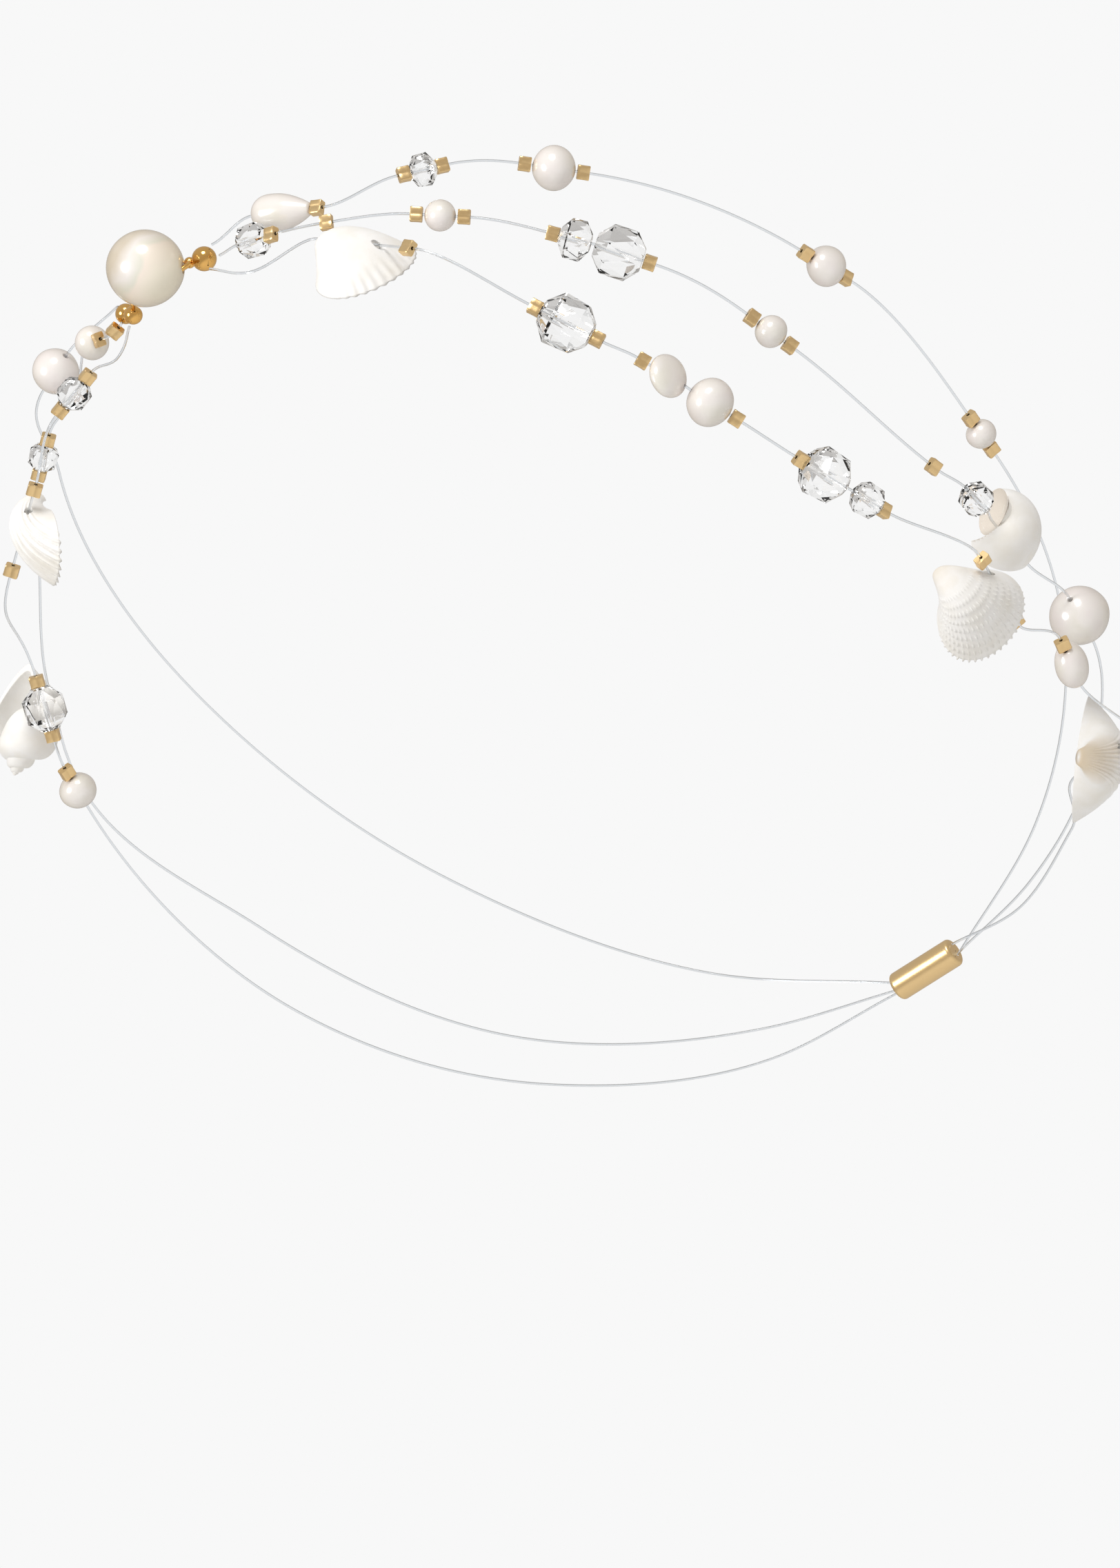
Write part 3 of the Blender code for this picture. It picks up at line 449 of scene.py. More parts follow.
def pearl_shape(name):
    """Matrix that stretches and skews a pearl while its hole stays on the line."""
    baroque = BAROQUE.get(name, PLAIN)
    spin = Matrix.Rotation(math.radians(baroque.spin), 3, "Z")
    turn = spin @ Matrix.Rotation(math.radians(baroque.skew), 3, "Y")
    shape = turn @ Matrix.Diagonal(baroque.stretch) @ turn.transposed()
    bore = (shape.inverted() @ Vector((1.0, 0.0, 0.0))).normalized()
    lead = Vector((1.0, 0.0, 0.0)).rotation_difference(bore).to_matrix()
    return (shape @ lead).to_4x4()


def coil_middle(shape):
    """Height of a coiled shell's tip over its middle."""
    return (shape.drop + shape.tube * shape.canal) * MM / 2.0


def shell_matrix(matrix, shape):
    """Turns a shell about the way out, tilts it and shifts it from its stop."""
    turn = Matrix.Rotation(math.radians(shape.turn), 4, "Z")
    tip = Matrix.Rotation(math.radians(-shape.tip), 4, "Y")
    lean = Matrix.Rotation(math.radians(shape.lean), 4, "X")
    shift = Matrix.Translation(Vector((shape.forward, shape.sideways, shape.outward)) * MM)
    return matrix @ shift @ turn @ tip @ lean


def make_routes(balls, clasp_frame):
    """Routes of all lines, from round the gold balls to the clasp."""
    routes = {}
    for name, stops in LINES.items():
        side = "left" if name.startswith("line_left") else "right"
        sign = 1.0 if side == "left" else -1.0
        first = seat(Place(stops[0].azimuth, stops[0].height, stops[0].lift))[0]
        middle = balls[side]
        ball_frame = frame_at(middle, first - middle, outward(middle))
        turn = 2.0 * math.pi * LEAVES[name]
        spread = Vector((0.0, math.cos(turn), math.sin(turn))) * LEAVE_SPREAD
        reach = math.sqrt((BALL_SIZES[side] / 2.0 + GAP + LINE_RADIUS) ** 2 - LEAVE_SPREAD ** 2)
        start = ball_frame @ (spread + Vector((reach, 0.0, 0.0)))
        bend = 2.0 * math.pi * (list(LINES).index(name) % 3) / 3.0
        hole = Vector((sign * (CLASP_LENGTH / 2.0 + GAP),
                       math.cos(bend) * LEAVE_SPREAD, math.sin(bend) * LEAVE_SPREAD))
        routes[name] = Route(start, stops, clasp_frame @ hole)
    return routes


def linear(hex_colour):
    """sRGB hex colour as the linear values that Blender's sockets hold."""
    parts = [int(hex_colour[i:i + 2], 16) / 255.0 for i in (1, 3, 5)]
    return (*[c / 12.92 if c <= 0.04045 else ((c + 0.055) / 1.055) ** 2.4 for c in parts], 1.0)


def add_node(tree, kind, inputs=None, stops=(), **settings):
    """Adds a node with its settings, its inputs, each a value or a link, and its ramp's stops."""
    made = tree.nodes.new(kind)
    for name, value in settings.items():
        setattr(made, name, value)
    for name, value in (inputs or {}).items():
        if isinstance(value, bpy.types.NodeSocket):
            tree.links.new(value, made.inputs[name])
        else:
            made.inputs[name].default_value = value
    for index, (place, hex_colour) in enumerate(stops):
        elements = made.color_ramp.elements
        element = elements[index] if index < len(elements) else elements.new(place)
        element.position = place
        element.color = linear(hex_colour)
    return made


def start_material(name, **sockets):
    """New material with the given constants on its shader."""
    material = bpy.data.materials.new(name)
    material.use_nodes = True
    tree = material.node_tree
    shader = tree.nodes["Principled BSDF"]
    for socket, value in sockets.items():
        shader.inputs[socket.replace("_", " ")].default_value = value
    return material, tree, shader


def mottle(tree, size, detail):
    """Noise on the object's own coordinates with lumps of one real size, from 0 to 1."""
    place = add_node(tree, "ShaderNodeTexCoord").outputs["Object"]
    lumps = add_node(tree, "ShaderNodeTexNoise", {"Vector": place, "Scale": 1.0 / size, "Detail": detail})
    return lumps.outputs["Fac"]


def paint_rim_shade(tree, shader, body, rim_shade):
    """Colours a pearl's body and paints shade towards its rim, where its surface turns away from the view."""
    edge = add_node(tree, "ShaderNodeLayerWeight", {"Blend": 0.3}).outputs["Facing"]
    mix = add_node(tree, "ShaderNodeMix", {0: edge, 6: body.outputs["Color"], 7: linear(rim_shade)},
                   data_type="RGBA")
    tree.links.new(mix.outputs[2], shader.inputs["Base Color"])


def make_white_pearl():
    """Freshwater nacre, grown in layers: a milky body whose colour drifts, under a clear lustrous skin, with
    painted shade at its rim.
    """
    material, tree, shader = start_material(
        "white_nacre", Roughness=0.24, IOR=1.6, Coat_Weight=1.0, Coat_Roughness=0.14, Coat_IOR=1.6,
        Sheen_Weight=0.1, Sheen_Roughness=0.5)
    body = add_node(tree, "ShaderNodeValToRGB", {"Fac": mottle(tree, 5.0 * MM, 2.0)},
                    ((0.3, "#f6efee"), (0.5, "#f9f5f1"), (0.7, "#f3f0e6")))
    # The beige towards the rim is painted shade where the pearl turns from the view.
    paint_rim_shade(tree, shader, body, "#d2c3b2")
    return material


def make_cream_pearl():
    """Large nacre bead with painted light: silvery white on its upper side as a painted reflection, warm
    cream on its lower side as painted bounce light, and painted beige shade at its rim.
    """
    material, tree, shader = start_material(
        "cream_nacre", Roughness=0.26, IOR=1.7, Coat_Weight=0.9, Coat_Roughness=0.09, Coat_IOR=1.6)
    # Painted light: a gradient across the pearl paints a grey reflection on its upper side and warm cream
    # bounce light on its lower side; the mottle added to it is the pearl's own tone.
    place = add_node(tree, "ShaderNodeTexCoord").outputs["Object"]
    away = add_node(tree, "ShaderNodeVectorMath", {0: place, 1: seat(FRONT_PEARL)[0]}, operation="SUBTRACT")
    side = add_node(tree, "ShaderNodeVectorMath", {0: away.outputs["Vector"], 1: PAINTED_BOUNCE_SIDE},
                    operation="DOT_PRODUCT").outputs["Value"]
    share = add_node(tree, "ShaderNodeMapRange", {"Value": side, "From Min": -3.0 * MM, "From Max": 5.0 * MM,
                                                  "To Min": -0.1, "To Max": 0.7}).outputs["Result"]
    mottle_and_painted_light = add_node(tree, "ShaderNodeMath", {0: mottle(tree, 6.0 * MM, 2.0), 1: 0.5, 2: share},
                     operation="MULTIPLY_ADD").outputs["Value"]
    body = add_node(tree, "ShaderNodeValToRGB", {"Fac": mottle_and_painted_light},
                    ((0.15, "#ddd3c4"), (0.36, "#faf6f4"), (0.52, "#eeede0"), (0.6, "#fff3e6"),
                     (0.95, "#fff8e4")))
    # The beige towards the rim is painted shade where the pearl turns from the view.
    paint_rim_shade(tree, shader, body, "#bfa878")
    return material


def make_shell_material():
    """Beach-worn shell bleached by the sun: chalky white with faint stains and pits, yellower towards its
    beak, and painted beige shade in its hollow.
    """
    material, tree, shader = start_material("beach_bleached_shell", Roughness=0.6, IOR=1.5)
    colour = add_node(tree, "ShaderNodeValToRGB", {"Fac": mottle(tree, 4.5 * MM, 4.0)},
                      ((0.3, "#f4f1ea"), (0.6, "#fcfbf9"), (0.8, "#f4f0e7"))).outputs["Color"]
    # The hollow's beige is painted shade; the beak's yellowing is a tint that fades out from the beak.
    for place, stain in (("hollow", "#e2d9cd"), ("beak", "#d3b98c")):
        share = add_node(tree, "ShaderNodeAttribute", attribute_name=place).outputs["Fac"]
        colour = add_node(tree, "ShaderNodeMix", {0: share, 6: colour, 7: linear(stain)},
                          data_type="RGBA").outputs[2]
    tree.links.new(colour, shader.inputs["Base Color"])
    pits = add_node(tree, "ShaderNodeBump", {"Height": mottle(tree, 0.4 * MM, 4.0), "Strength": 0.2,
                                             "Distance": 0.1 * MM})
    tree.links.new(pits.outputs["Normal"], shader.inputs["Normal"])
    return material


def make_gold(name, colour, roughness, grain_size, grain_strength):
    """Gold-plated brass, tumbled or polished: warm metal whose roughness wanders with the polish."""
    material, tree, shader = start_material(name, Metallic=1.0, Base_Color=linear(colour))
    grain = mottle(tree, grain_size, 2.0)
    spread = add_node(tree, "ShaderNodeMapRange", {"Value": grain, "To Min": roughness * 0.8,
                                                   "To Max": roughness * 1.25})
    tree.links.new(spread.outputs["Result"], shader.inputs["Roughness"])
    relief = add_node(tree, "ShaderNodeBump", {"Height": grain, "Strength": grain_strength,
                                               "Distance": 0.05 * MM})
    tree.links.new(relief.outputs["Normal"], shader.inputs["Normal"])
    return material


def make_crystal():
    """Machine-cut lead glass, polished: clear as water, with sharp facets and faint waves from the wheel."""
    material, tree, shader = start_material(
        "cut_lead_glass", Base_Color=linear("#fefefe"), Roughness=0.0, IOR=1.5, Transmission_Weight=1.0)
    waves = add_node(tree, "ShaderNodeBump", {"Height": mottle(tree, 1.6 * MM, 0.0), "Strength": 0.12,
                                              "Distance": 0.1 * MM})
    tree.links.new(waves.outputs["Normal"], shader.inputs["Normal"])
    return material


def make_nylon():
    """Drawn nylon monofilament: clear and smooth, with grey edges where it bends the light."""
    return start_material("drawn_clear_nylon", Base_Color=linear("#e3e6e9"), Roughness=0.06, IOR=1.53,
                          Transmission_Weight=1.0)[0]


def add_mesh(name, points, faces, material, smooth=True):
    """New piece from points and faces, shaded smooth or left faceted."""
    data = bpy.data.meshes.new(name)
    data.from_pydata([tuple(point) for point in points], [], faces)
    data.materials.append(material)
    data.polygons.foreach_set("use_smooth", [smooth] * len(data.polygons))
    data.validate()
    item = bpy.data.objects.new(name, data)
    scene.collection.objects.link(item)
    return item


def dress(item, slot, *nodes):
    """Rides a finished piece on the part and hides the solids that it stands for."""
    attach(item, "root")
    if nodes:
        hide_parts(*nodes)
    return item


def grid_faces(rows, columns, closed):
    """Quads between rows of points that run round; closed joins the last row to the first."""
    faces = []
    for row in range(rows if closed else rows - 1):
        after = (row + 1) % rows
        for column in range(columns):
            ahead = (column + 1) % columns
            faces.append((row * columns + column, row * columns + ahead,
                          after * columns + ahead, after * columns + column))
    return faces


def turned(profile, columns, matrix):
    """Points of a profile of (x, radius) turned about X."""
    points = []
    for x, radius in profile:
        for column in range(columns):
            turn = 2.0 * math.pi * column / columns
            points.append(matrix @ Vector((x, math.cos(turn) * radius, math.sin(turn) * radius)))
    return points


def pearl_profile(along, across, bore, taper):
    """Half outline of a drilled pearl, back through its hole."""
    edge = math.asin(2.0 * bore / across)
    profile = []
    for k in range(PEARL_STEPS + 1):
        turn = edge + (math.pi - 2.0 * edge) * k / PEARL_STEPS
        x = -math.cos(turn)
        profile.append((x * along / 2.0, math.sin(turn) * across / 2.0 * (1.0 + taper * x * math.sin(turn))))
    end = profile[-1][0]
    return profile + [(end - PEARL_LIP, bore * HOLE_NARROWING), (-end + PEARL_LIP, bore * HOLE_NARROWING)]


def drop_profile(along, across, bore):
    """Half outline of the long pearl: a round head that draws out to a blunt tip."""
    radius = across / 2.0
    profile = []
    for k in range(PEARL_STEPS + 1):
        u = k / PEARL_STEPS
        if u < DROP_WIDEST:
            r = radius * math.sqrt(max(1.0 - ((DROP_WIDEST - u) / DROP_WIDEST) ** 2, 0.0))
        else:
            slope = math.pi / 2.0 * ((u - DROP_WIDEST) / (1.0 - DROP_WIDEST)) ** DROP_BLUNTNESS
            r = DROP_TIP + (radius - DROP_TIP) * math.cos(slope)
        profile.append(((u - 0.5) * along, max(r, bore)))
    end = along / 2.0
    return profile + [(end + DROP_LIP, bore), (end - DROP_LIP, bore * HOLE_NARROWING),
                      (-end + DROP_LIP, bore * HOLE_NARROWING)]


def lumped(points, centre, size, depth):
    """Slow uneven growth of a natural pearl, outward from its middle."""
    grown = []
    for point in points:
        away = point - centre
        grown.append(point + away.normalized() * noise.noise(point / size) * depth)
    return grown


def build_pearl(stop, matrix, material):
    """Small pearl, drilled along its line and grown a little unevenly."""
    along = stop.along * MM
    across = stop.across * MM
    if stop.kind == "drop":
        profile = drop_profile(along, across, BORE_RADIUS)
    else:
        profile = pearl_profile(along, across, BORE_RADIUS, BAROQUE.get(stop.name, PLAIN).taper)
    points = turned(profile, PEARL_COLUMNS, matrix @ pearl_shape(stop.name))
    points = lumped(points, matrix.translation, size=3.2 * MM, depth=0.09 * MM)
    item = add_mesh(stop.name + "_nacre", points, grid_faces(len(profile), PEARL_COLUMNS, True), material)
    item.data.set_sharp_from_angle(angle=math.radians(60.0))
    return dress(item, "white_pearl", stop.name)


def build_crystal(stop, matrix, material):
    """Round cut stone: a table at each end of its hole, two rows of long facets, a girdle of broad ones."""
    half = stop.along * MM / 2.0
    radius = stop.across * MM / 2.0
    sides = CRYSTAL_SIDES
    bore = BORE_RADIUS * HOLE_NARROWING
    points = []
    for x, share, start in CRYSTAL_ROWS:
        for side in range(sides):
            turn = 2.0 * math.pi * (side + start) / sides
            corner = Vector((x * half, math.cos(turn) * share * radius, math.sin(turn) * share * radius))
            points.append(corner / CRYSTAL_SHARE)
    faces = []
    for row in range(len(CRYSTAL_ROWS) - 1):
        turned_row = CRYSTAL_ROWS[row][2] > 0.0
        for side in range(sides):
            ahead = (side + 1) % sides
            low = row * sides
            high = (row + 1) * sides
            if turned_row:
                faces.append((low + side, low + ahead, high + ahead))
                faces.append((low + side, high + ahead, high + side))
            else:
                faces.append((low + side, low + ahead, high + side))
                faces.append((low + ahead, high + ahead, high + side))
    hole = []
    for x in (half / CRYSTAL_SHARE, -half / CRYSTAL_SHARE):
        hole.append(len(points))
        for side in range(sides):
            turn = 2.0 * math.pi * side / sides
            points.append(Vector((x, math.cos(turn) * bore, math.sin(turn) * bore)))
    last = (len(CRYSTAL_ROWS) - 1) * sides
    for side in range(sides):
        ahead = (side + 1) % sides
        faces.append((last + side, last + ahead, hole[0] + ahead, hole[0] + side))
        faces.append((hole[1] + side, hole[1] + ahead, ahead, side))
        faces.append((hole[0] + side, hole[0] + ahead, hole[1] + ahead, hole[1] + side))
    item = add_mesh(stop.name + "_cut", [matrix @ point for point in points], faces, material, False)
    tidy_normals(item)
    return dress(item, "clear_crystal", stop.name)


def tidy_normals(item):
    """Turns all faces of a closed mesh outwards."""
    mesh = bmesh.new()
    mesh.from_mesh(item.data)
    bmesh.ops.recalc_face_normals(mesh, faces=mesh.faces)
    mesh.to_mesh(item.data)
    mesh.free()


def new_tree(name, sockets):
    """Geometry tree with named inputs after its geometry, ending in one geometry output."""
    tree = bpy.data.node_groups.new(name, "GeometryNodeTree")
    tree.interface.new_socket("Geometry", in_out="INPUT", socket_type="NodeSocketGeometry")
    for socket, kind in sockets:
        tree.interface.new_socket(socket, in_out="INPUT", socket_type="NodeSocket" + kind)
    tree.interface.new_socket("Geometry", in_out="OUTPUT", socket_type="NodeSocketGeometry")
    start = add_node(tree, "NodeGroupInput")
    return tree, start


def end_tree(tree, geometry, material):
    """Realizes instances, sets the material and closes the tree."""
    real = add_node(tree, "GeometryNodeRealizeInstances", {"Geometry": geometry}).outputs["Geometry"]
    painted = add_node(tree, "GeometryNodeSetMaterial", {"Geometry": real, "Material": material})
    add_node(tree, "NodeGroupOutput", {"Geometry": painted.outputs["Geometry"]})


def grow(item, tree, values, name):
    """Runs a tree on an object and gives back the plain mesh that it makes."""
    modifier = item.modifiers.new("grow", "NODES")
    modifier.node_group = tree
    for socket in tree.interface.items_tree:
        if socket.in_out == "INPUT" and socket.name in values:
            modifier[socket.identifier] = values[socket.name]
    ready = item.evaluated_get(bpy.context.evaluated_depsgraph_get())
    data = bpy.data.meshes.new_from_object(ready)
    data.name = name
    item.modifiers.remove(modifier)
    bpy.data.objects.remove(item)
    made = bpy.data.objects.new(name, data)
    scene.collection.objects.link(made)
    return made


def line_tree():
    """Round line drawn along a path."""
    tree, start = new_tree("drawn line", (("Radius", "Float"), ("Sides", "Int"), ("Material", "Material")))
    given = start.outputs
    section = add_node(tree, "GeometryNodeCurvePrimitiveCircle",
                       {"Radius": given["Radius"], "Resolution": given["Sides"]}).outputs["Curve"]
    tube = add_node(tree, "GeometryNodeCurveToMesh",
                    {"Curve": given["Geometry"], "Profile Curve": section, "Fill Caps": True})
    smooth = add_node(tree, "GeometryNodeSetShadeSmooth", {"Geometry": tube.outputs["Mesh"]})
    end_tree(tree, smooth.outputs["Geometry"], given["Material"])
    return tree


def path_object(name, points):
    """Open curve through the points."""
    curve = bpy.data.curves.new(name, "CURVE")
    curve.dimensions = "3D"
    spline = curve.splines.new("POLY")
    spline.points.add(len(points) - 1)
    for target, point in zip(spline.points, points):
        target.co = (*point, 1.0)
    item = bpy.data.objects.new(name, curve)
    scene.collection.objects.link(item)
    return item


def even_points(route, step):
    """Points along a whole route, a step apart."""
    count = max(2, round(route.reach[-1] / step))
    return [route.sample(route.reach[-1] * k / count)[0] for k in range(count + 1)]


def build_nylon(name, route, tree, material):
    """Nylon of one line, from the gold balls to the clasp."""
    path = path_object(name + "_path", even_points(route, LINE_STEP))
    values = {"Radius": LINE_RADIUS, "Sides": LINE_SIDES, "Material": material}
    item = grow(path, tree, values, name + "_nylon")
    return dress(item, "clear_nylon", name)


def crimp_form(material):
    """One squeezed tube about X: square with soft corners, creased along two sides, open at both ends."""
    half = CRIMP_LENGTH / 2.0
    wide = CRIMP_SIDE / 2.0
    flat = wide * CRIMP_FLATNESS
    outline = []
    for column in range(CRIMP_COLUMNS):
        turn = 2.0 * math.pi * column / CRIMP_COLUMNS
        c = math.cos(turn)
        s = math.sin(turn)
        reach = 1.0 / (abs(c) ** CRIMP_SQUARENESS + abs(s) ** CRIMP_SQUARENESS) ** (1.0 / CRIMP_SQUARENESS)
        crease = CRIMP_CREASE * math.exp(-(c / CRIMP_CREASE_SHARE) ** 2)
        outline.append((c * reach * wide, s * reach * (flat - crease)))
    fullness = ((half, 0.95), (half - CRIMP_BEVEL, 1.0), (half * 0.4, 0.985))
    stations = [(-x, share) for x, share in fullness] + list(fullness[::-1])
    points = [Vector((x, y * share, z * share)) for x, share in stations for y, z in outline]
    bore = [(x, CRIMP_BORE) for x in (half, half - CRIMP_LIP, -half + CRIMP_LIP, -half)]
    points += turned(bore, CRIMP_COLUMNS, Matrix.Identity(4))
    faces = grid_faces(len(stations) + len(bore), CRIMP_COLUMNS, True)
    form = add_mesh("crimp_form", points, faces, material)
    tidy_normals(form)
    form.data.set_sharp_from_angle(angle=math.radians(32.0))
    return form


def crimp_tree():
    """One form set on each point and turned as the point says."""
    tree, start = new_tree("crimps on a line", (("Form", "Object"), ("Material", "Material")))
    form = add_node(tree, "GeometryNodeObjectInfo", {"Object": start.outputs["Form"]})
    turn = add_node(tree, "GeometryNodeInputNamedAttribute", {"Name": "turn"}, data_type="FLOAT_VECTOR")
    euler = add_node(tree, "FunctionNodeEulerToRotation", {"Euler": turn.outputs["Attribute"]})
    points = add_node(tree, "GeometryNodeMeshToPoints", {"Mesh": start.outputs["Geometry"]})
    placed = add_node(tree, "GeometryNodeInstanceOnPoints",
                      {"Points": points.outputs["Points"], "Instance": form.outputs["Geometry"],
                       "Rotation": euler.outputs["Rotation"]})
    end_tree(tree, placed.outputs["Instances"], start.outputs["Material"])
    return tree


def build_crimps(name, route, tree, form, material):
    """Gold tubes of one line, each turned about the line by its own small angle."""
    places = []
    turns = []
    for number, middle in enumerate(crimp_places(route)):
        point, way = route.sample(middle)
        roll = Matrix.Rotation(crimp_roll(number), 4, "X")
        matrix = frame_at(point, way, CRIMP_FACING) @ roll
        places.append(point)
        turns.append(matrix.to_euler())
    item = add_mesh(name + "_seats", places, [], material)
    attribute = item.data.attributes.new("turn", "FLOAT_VECTOR", "POINT")
    attribute.data.foreach_set("vector", [angle for turn in turns for angle in turn])
    made = grow(item, tree, {"Form": form, "Material": material}, name + "_crimps")
    return dress(made, "satin_gold")


# How each half shell is ribbed: ribs round its whole fan, their depth in mm, growth rows, knob height in mm,
# the shares of its growth between which the sea's wear fades out, the middle and spread of the ribs in
# degrees, the yellowing at its beak, and the columns and rows of points that draw it
Ribbing = namedtuple("Ribbing", "ribs depth rows knobs worn_from worn_to middle spread stain "
                     "columns point_rows")
RIBBINGS = {
    "shell_cockle_front": Ribbing(34.0, 0.14, 0.0, 0.0, 0.82, 1.0, 0.0, 70.0, 0.15, 272, 40),
    "shell_knobbed": Ribbing(44.0, 0.0, 14.0, 0.42, 0.35, 0.6, -20.0, 100.0, 0.4, 352, 90),
    "shell_cockle_right": Ribbing(26.0, 0.34, 0.0, 0.0, 0.3, 0.75, 40.0, 60.0, 0.1, 260, 40),
    "shell_cockle_large": Ribbing(34.0, 0.34, 0.0, 0.0, 0.15, 0.5, 0.0, 60.0, 1.0, 272, 40),
}


def fresh(ribbing, turn, share):
    """How much of the ribs is left at a place on a half shell, from 0 to 1."""
    grown = min(max((share - ribbing.worn_from) / (ribbing.worn_to - ribbing.worn_from), 0.0), 1.0)
    aside = abs((math.degrees(turn) - ribbing.middle + 180.0) % 360.0 - 180.0)
    return grown * min(max(2.0 - 2.0 * aside / ribbing.spread, 0.0), 1.0)


def beak_yellowing(ribbing, share):
    """How yellow a half shell is, from its beak outward."""
    return ribbing.stain * max(1.0 - share / YELLOWING_REACH, 0.0)


def valve_tree():
    """Ribs and knobs raised along the skin of a half shell."""
    sockets = [(size, "Float") for size in ("Ribs", "Depth", "Rows", "Knobs")] + [("Material", "Material")]
    tree, start = new_tree("ribs on a half shell", sockets)
    given = start.outputs
    told = {}
    for tag in ("fan", "growth", "skin", "worn"):
        told[tag] = add_node(tree, "GeometryNodeInputNamedAttribute", {"Name": tag},
                             data_type="FLOAT").outputs["Attribute"]
    fan = add_node(tree, "ShaderNodeMath", {0: told["fan"], 1: given["Ribs"]},
                   operation="MULTIPLY").outputs[0]
    across = add_node(tree, "ShaderNodeMath", {0: fan}, operation="COSINE").outputs[0]
    growth = add_node(tree, "ShaderNodeMath", {0: told["growth"], 1: given["Rows"]},
                      operation="MULTIPLY").outputs[0]
    along = add_node(tree, "ShaderNodeMath", {0: growth}, operation="COSINE").outputs[0]
    groove = add_node(tree, "ShaderNodeMath", {0: given["Depth"], 1: -1.0}, operation="MULTIPLY").outputs[0]
    crest = add_node(tree, "ShaderNodeMath", {0: across, 1: -1.0}, operation="MULTIPLY").outputs[0]
    high = add_node(tree, "ShaderNodeMath", {0: crest, 1: 0.0}, operation="MAXIMUM").outputs[0]
    row = add_node(tree, "ShaderNodeMath", {0: along, 1: 0.0}, operation="MAXIMUM").outputs[0]
    peak = add_node(tree, "ShaderNodeMath", {0: high, 1: row}, operation="MULTIPLY").outputs[0]
    knob = add_node(tree, "ShaderNodeMath", {0: peak, 1: given["Knobs"]}, operation="MULTIPLY").outputs[0]
    raised = add_node(tree, "ShaderNodeMath", {0: across, 1: groove, 2: knob},
                      operation="MULTIPLY_ADD").outputs[0]
    left = add_node(tree, "ShaderNodeMath", {0: told["skin"], 1: told["worn"]},
                    operation="MULTIPLY").outputs[0]
    height = add_node(tree, "ShaderNodeMath", {0: raised, 1: left}, operation="MULTIPLY").outputs[0]
    normal = add_node(tree, "GeometryNodeInputNormal").outputs["Normal"]
    offset = add_node(tree, "ShaderNodeVectorMath", {0: normal, "Scale": height}, operation="SCALE")
    moved = add_node(tree, "GeometryNodeSetPosition",
                     {"Geometry": given["Geometry"], "Offset": offset.outputs["Vector"]})
    end_tree(tree, moved.outputs["Geometry"], given["Material"])
    return tree


def valve_base(name, shape, matrix, material, ribbing):
    """Smooth half shell with its inner wall, carrying where each point lies on the fan and in its growth."""
    columns = ribbing.columns
    rows = ribbing.point_rows
    points = []
    tags = []
    for skin, form in ((1.0, valve_point), (0.0, hollow_point)):
        steps = range(rows, -1, -1) if skin else range(rows + 1)
        for step in steps:
            curl = BEAK_TURN * (step / rows) ** ROW_CROWDING
            share = math.exp(-VALVE_CURL * curl)
            for column in range(columns):
                turn = 2.0 * math.pi * column / columns
                points.append(form(shape, turn, curl))
                tags.append((turn, share, skin, fresh(ribbing, turn, share), beak_yellowing(ribbing, share)))
    faces = grid_faces(2 * rows + 2, columns, False)
    for first in (0, (2 * rows + 1) * columns):
        middle = sum(points[first:first + columns], Vector()) / columns
        for column in range(columns):
            faces.append((len(points), first + column, first + (column + 1) % columns))
        points.append(middle)
        tags.append((0.0, 0.0, 0.0, 0.0, 0.0))
    item = add_mesh(name, [matrix @ point for point in points], faces, material)
    tidy_normals(item)
    for index, tag in enumerate(("fan", "growth", "skin", "worn", "beak")):
        attribute = item.data.attributes.new(tag, "FLOAT", "POINT")
        attribute.data.foreach_set("value", [values[index] for values in tags])
    return item


def cut_hole(item, matrix, reach, radius):
    """Straight drilled hole along the line through a finished shell."""
    points = turned([(-reach, radius), (reach, radius)], DRILL_SIDES, matrix)
    faces = grid_faces(2, DRILL_SIDES, False)
    faces += [tuple(range(DRILL_SIDES))[::-1], tuple(range(DRILL_SIDES, 2 * DRILL_SIDES))]
    drill = add_mesh(item.name + "_drill", points, faces, item.data.materials[0])
    tidy_normals(drill)
    modifier = item.modifiers.new("drill", "BOOLEAN")
    modifier.operation = "DIFFERENCE"
    modifier.solver = "EXACT"
    modifier.object = drill
    ready = item.evaluated_get(bpy.context.evaluated_depsgraph_get())
    data = bpy.data.meshes.new_from_object(ready)
    item.modifiers.remove(modifier)
    item.data = data
    bpy.data.objects.remove(drill)


def build_valve(stop, matrix, tree, material):
    """Half shell with its ribs or knobs, drilled along its line."""
    shape = HALF_SHELLS[stop.name]
    ribbing = RIBBINGS[stop.name]
    place = shell_matrix(level_frame(matrix), shape)
    base = valve_base(stop.name + "_base", shape, place, material, ribbing)
    values = {"Ribs": ribbing.ribs, "Depth": ribbing.depth * MM, "Rows": ribbing.rows * 2.0 * math.pi,
              "Knobs": ribbing.knobs * MM, "Material": material}
    item = grow(base, tree, values, stop.name + "_worn")
    cut_hole(item, matrix, reach=DRILL_REACH, radius=SHELL_BORE_RADIUS)
    return dress(item, "bleached_shell", stop.name)


# Coils: how far the lip runs ahead towards the tip, as a share of a turn, steps along and sides round the
# tube, and the hollow in the flank: its middle from the shell's middle and its radius, in mm
Coil = namedtuple("Coil", "slant steps sides hollow_at hollow_radius")
COILS = {
    "shell_moon": Coil(0.14, 721, 88, Vector((-0.7, -4.4, 6.7)), 6.2),
    "shell_spire": Coil(0.05, 901, 64, Vector((0.0, 0.0, 0.0)), 0.0),
}

# A coil is wound from a flat sheet that runs from -0.5 to 0.5: its lip, where its inside starts, how many
# whorls that inside goes back, how wide the inside is, and how much a hollow deepens with each whorl
LIP_AT = 0.36
INSIDE_AT = 0.38
INSIDE_WHORLS = 0.6
WALL_SHARE = 0.88
HOLLOW_STEP = 0.012
MERGE_DISTANCE = 0.01 * MM


